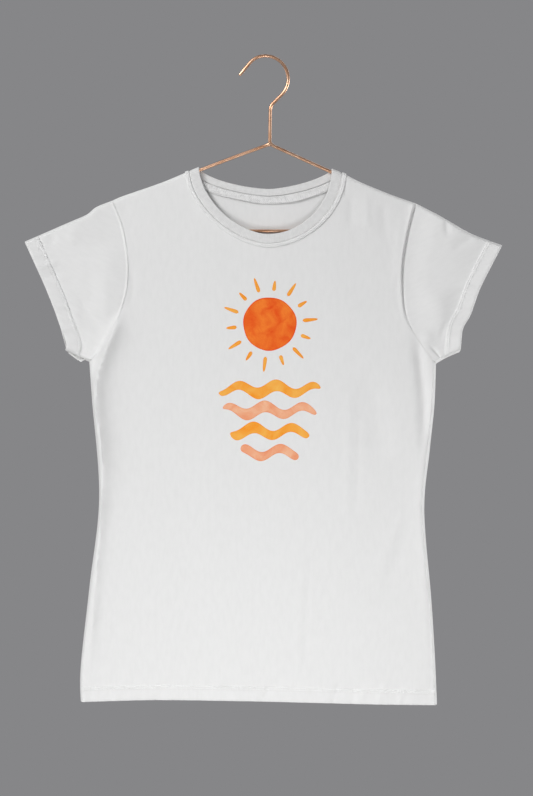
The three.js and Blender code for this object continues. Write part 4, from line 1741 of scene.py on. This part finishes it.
@dataclass
class Studio:
    """A pale floor, soft lights and a level camera in front of the shirt, in metres."""

    eye: tuple[float, float, float] = (-0.0009, -3.0, -0.4227)
    lens_mm: float = 109.3
    surround: str = "#868688"
    floor_z: float = -2.2
    floor_half: float = 1.5

    def camera(self) -> None:
        """Sets the camera, level and square to the shirt."""
        data = bpy.data.cameras.new("camera")
        data.lens = self.lens_mm
        camera = bpy.data.objects.new("camera", data)
        camera.location = self.eye
        camera.rotation_euler = (math.pi / 2, 0, 0)
        bpy.context.scene.collection.objects.link(camera)
        bpy.context.scene.camera = camera

    def floor(self) -> None:
        """Lays the paper floor below the shirt."""
        reach = self.floor_half / MM
        corners = [(-reach, -reach), (reach, -reach), (reach, reach), (-reach, reach)]
        points = np.array([(x, y, self.floor_z / MM) for x, y in corners])
        floor = mesh_object("floor", points, [[0, 1, 2, 3]])
        floor.data.materials.append(StudioPaper().material())

    def build(self) -> None:
        """Makes the whole studio."""
        scene = bpy.context.scene
        scene.view_settings.view_transform = "Standard"
        scene.world = bpy.data.worlds.new("studio")
        scene.world.use_nodes = True
        scene.world.node_tree.nodes["Background"].inputs["Color"].default_value = linear(self.surround)
        self.camera()
        for lamp in LIGHTS:
            lamp.build()
        self.floor()


# ---------------------------------------------------------------- the folds of this shirt


FRONT_FOLDS = [
    # the roll that hangs from the left armpit down the side, and the crease beside it lower down
    Roll(
        13.0,
        4.5,
        10.0,
        [(-178, -312), (-189, -340), (-201, -369), (-209.5, -400), (-211, -431), (-207.5, -462), (-204, -493),
         (-203.3, -524), (-204.5, -555), (-206, -600)],
        fade=(0.15, 0.5),
        rounding=2.5,
    ),
    Roll(
        4.5,
        4.0,
        5.0,
        [(-203.3, -520), (-206.5, -587), (-211, -640), (-215, -690), (-219, -740), (-221, -775)],
    ),
    Fold(-0.8, 4.0, [(-169, -245.2), (-166.5, -288.7), (-170.3, -313.5)]),
    # the shallower fold down the right side, the roll outside it and the crease at its foot
    Fold(
        -3.4,
        6.5,
        [(184, -335), (187, -362), (191, -395), (194, -428), (194, -470), (193, -515)],
        (0.25, 0.4),
    ),
    Roll(
        2.0,
        2.5,
        10.0,
        [(204.5, -388), (202, -437), (194, -500), (190, -562), (193.5, -610), (198.5, -670), (203, -740)],
        -1,
        (0.1, 0.35),
    ),
    Fold(-0.9, 1.5, [(195.5, -600), (198.8, -670), (202, -735), (203.7, -795)], (0.2, 0.05)),
    Fold(-1.6, 18.0, [(117.6, -381.7), (130.1, -425.2), (137.5, -474.8), (140, -518.2)]),
    Fold(0.4, 6.0, [(178.5, -543.1), (166, -564.2), (153.6, -598.9), (138.7, -631.2), (130.1, -654.8)]),
    Fold(-0.4, 7.0, [(172.3, -574.1), (162.3, -617.5), (147.4, -658.5), (137.5, -685.8)]),
    Fold(0.35, 5.0, [(100.3, -400.3), (100.3, -462.4), (99, -524.4), (97.8, -586.5)]),
    Fold(-0.35, 5.0, [(112.7, -400.3), (112.7, -462.4), (111.4, -524.4), (110.2, -586.5)]),
    Fold(0.25, 4.0, [(46.9, -592.7), (41.9, -661), (38.2, -735.4), (37, -785.1)]),
    Fold(-0.28, 4.0, [(56.8, -592.7), (50.6, -661), (46.9, -735.4), (45.7, -785.1)]),
    # what hangs from the shoulders
    Fold(-0.8, 5.0, [(102.8, -169.5), (104, -191.9), (102.8, -216.7)]),
    Fold(0.8, 5.0, [(121.4, -168.3), (122.6, -189.4), (125.1, -216.7)]),
    Fold(-0.8, 6.0, [(142.5, -175.7), (144.9, -199.3), (146.2, -232.8)]),
    Fold(0.9, 5.0, [(169.8, -191.9), (162.3, -239), (159.8, -288.7)]),
    Fold(-0.35, 2.0, [(-125.6, -154.6), (-124.3, -173.2)]),
    Fold(-0.35, 2.0, [(-118.1, -152.1), (-116.9, -173.2)]),
    Fold(-0.35, 2.0, [(-110.7, -149.7), (-109.5, -170.8)]),
    # the left sleeve
    Fold(3.5, 24.0, [(-200, -225), (-196, -280), (-206, -325)]),
    Fold(0.9, 7.0, [(-238.5, -204.3), (-239.8, -221.6), (-242.2, -236.5)]),
    Fold(-1.2, 5.0, [(-264.6, -214.2), (-265.8, -224.1), (-268.3, -236.5)]),
    Fold(0.5, 8.0, [(-229.8, -239), (-227.4, -270), (-228.6, -301.1)]),
    Fold(-0.8, 9.0, [(-214, -285), (-223.6, -308), (-232, -334)]),
    Fold(-0.9, 4.0, [(-204, -343), (-220, -321), (-236, -292)]),
    Fold(0.9, 5.0, [(-209, -352), (-228, -333), (-245, -312)]),
    Fold(-0.6, 1.6, [(-212.5, -355.7), (-217.4, -366.8)]),
    Fold(-0.6, 1.6, [(-206.3, -351.9), (-210, -363.1)]),
    Fold(-0.6, 1.6, [(-219.9, -361.9), (-224.9, -371.8)]),
    Fold(0.4, 5.0, [(-202.5, -257.6), (-198.8, -301.1), (-202.5, -338.3)]),
    # the right sleeve
    Fold(3.5, 18.0, [(207, -280), (213, -315), (218, -350)]),
    Fold(-2.2, 2.6, [(221.4, -200.5), (222.5, -211.7), (225, -222.9)]),
    Fold(-1.4, 4.5, [(257.9, -221.6), (243, -230.3), (226.9, -238.4)]),
    Fold(1.0, 7.0, [(194.6, -338.3), (202, -356.9)]),
    Fold(-2.0, 1.8, [(199.6, -361.9), (207, -363.7), (215.7, -374.3)]),
    Fold(-0.6, 3.0, [(223.1, -323.4), (216.9, -340.8), (214.4, -354.4)]),
]
BACK_FOLDS = [
    Fold(-3.0, 6.0, [(-178, -330), (-192, -372), (-196, -430), (-193, -500)], (0.2, 0.4), 0.3),
    Fold(-2.4, 6.0, [(172, -330), (180, -378), (185, -440), (183, -505)], (0.2, 0.4), -0.3),
    Fold(1.2, 9.0, [(-150, -240), (-140, -330), (-146, -420)]),
    Fold(-1.2, 10.0, [(-60, -200), (-72, -330), (-66, -470)]),
    Fold(1.0, 9.0, [(40, -230), (52, -360), (46, -520)]),
    Fold(-1.0, 8.0, [(110, -220), (122, -340), (118, -470)]),
    Fold(0.8, 7.0, [(-160, -560), (-130, -640), (-118, -720)]),
    Fold(-0.8, 7.0, [(150, -570), (128, -650), (120, -730)]),
    Fold(0.8, 5.0, [(-232, -236), (-229, -268), (-231, -300)]),
    Fold(-1.2, 5.0, [(-218, -285), (-226, -325)]),
    Fold(0.8, 5.0, [(226, -240), (222, -275), (224, -305)]),
    Fold(-1.2, 5.0, [(208, -285), (214, -325)]),
]
SEAMS = {
    "left": ArmholeSeam(LEFT, gap=0.03, groove=0.1, ridge=0.9),
    "right": ArmholeSeam(RIGHT, gap=0.12, groove=1.5, groove_width=1.4, body_swell=0.9, drop=2.2, taper=1.0),
}


def hung_cloth() -> HungCloth:
    """The shirt's cloth with all its folds, seams and hems."""
    hems = {}
    for face, seed in ((Face.FRONT, 10), (Face.BACK, 20)):
        hems[face] = {
            "body": TurnedHem(HEM_LINE, Puckers(15.0, 1.2, 0.35, seed), groove=-0.4, swell=0.6, lean=1.5),
            "left": TurnedHem(
                LEFT.cuff(face),
                Puckers(9.0, 1.8, 0.5, seed + 1),
                groove=0.3,
                groove_width=1.3,
                swell=1.8,
                thread_lift=0.2,
                lean=2.5,
            ),
            "right": TurnedHem(
                RIGHT.cuff(face), Puckers(8.0, 0.9, 0.4, seed + 2), groove=-0.3, swell=1.1, lean=4.0
            ),
        }
    ripples = {Face.FRONT: Ripple(0.25, 3), Face.BACK: Ripple(0.3, 4)}
    return HungCloth({Face.FRONT: FRONT_FOLDS, Face.BACK: BACK_FOLDS}, SEAMS, hems, ripples)


def sew(cloth: HungCloth, trim: NeckTrim) -> dict[str, bpy.types.Object]:
    """Makes all the rows of stitches, by the piece of cloth that they hold."""
    stitching = Stitching(cloth, SpunThread().material())
    made = {}
    for face in Face:
        side = face.name.lower()
        rows = stitching.hem_rows(cloth.hems[face]["body"], 1, face)
        made[side] = stitching.build(f"{side}_hem_stitches", rows, "jersey")
    for half in HALVES:
        rows = []
        for face in Face:
            rows += stitching.hem_rows(cloth.hems[face][half.name], -half.sign, face)
        made[half.name] = stitching.build(f"{half.name}_cuff_stitches", rows, "jersey")
    rows = []
    for face, band in NECK.items():
        ways = stitching.samples(band.length)
        rows += [(band.at(ways, inset), face, trim.stitch_lift) for inset in trim.stitch_rows]
    made["neck"] = stitching.build("neck_stitches", rows, "rib_knit")
    made["tape"] = stitching.build("tape_stitches", trim.tape_stitch_rows(stitching), "cotton_tape")
    return made


def main() -> None:
    """Builds the studio, the hanger and the shirt."""
    logging.basicConfig(level=logging.INFO, format="%(name)s: %(message)s")
    Studio().build()
    hanger = WireHanger().build(CopperPlatedWire().material())
    cloth = hung_cloth()
    jersey = CottonJersey().material()
    panels = {face.name.lower(): BodyPanel(face, cloth).build(jersey) for face in Face}
    sleeves = {half.name: Sleeve(half, cloth).build(jersey) for half in HALVES}
    trim = NeckTrim(cloth)
    band = trim.build_rib(RibKnit().material())
    strip = trim.build_strip(jersey)
    tape = trim.build_tape(HerringboneTape().material())
    stitches = sew(cloth, trim)
    films = ChestPrint(cloth).build()


if __name__ == "__main__":
    main()
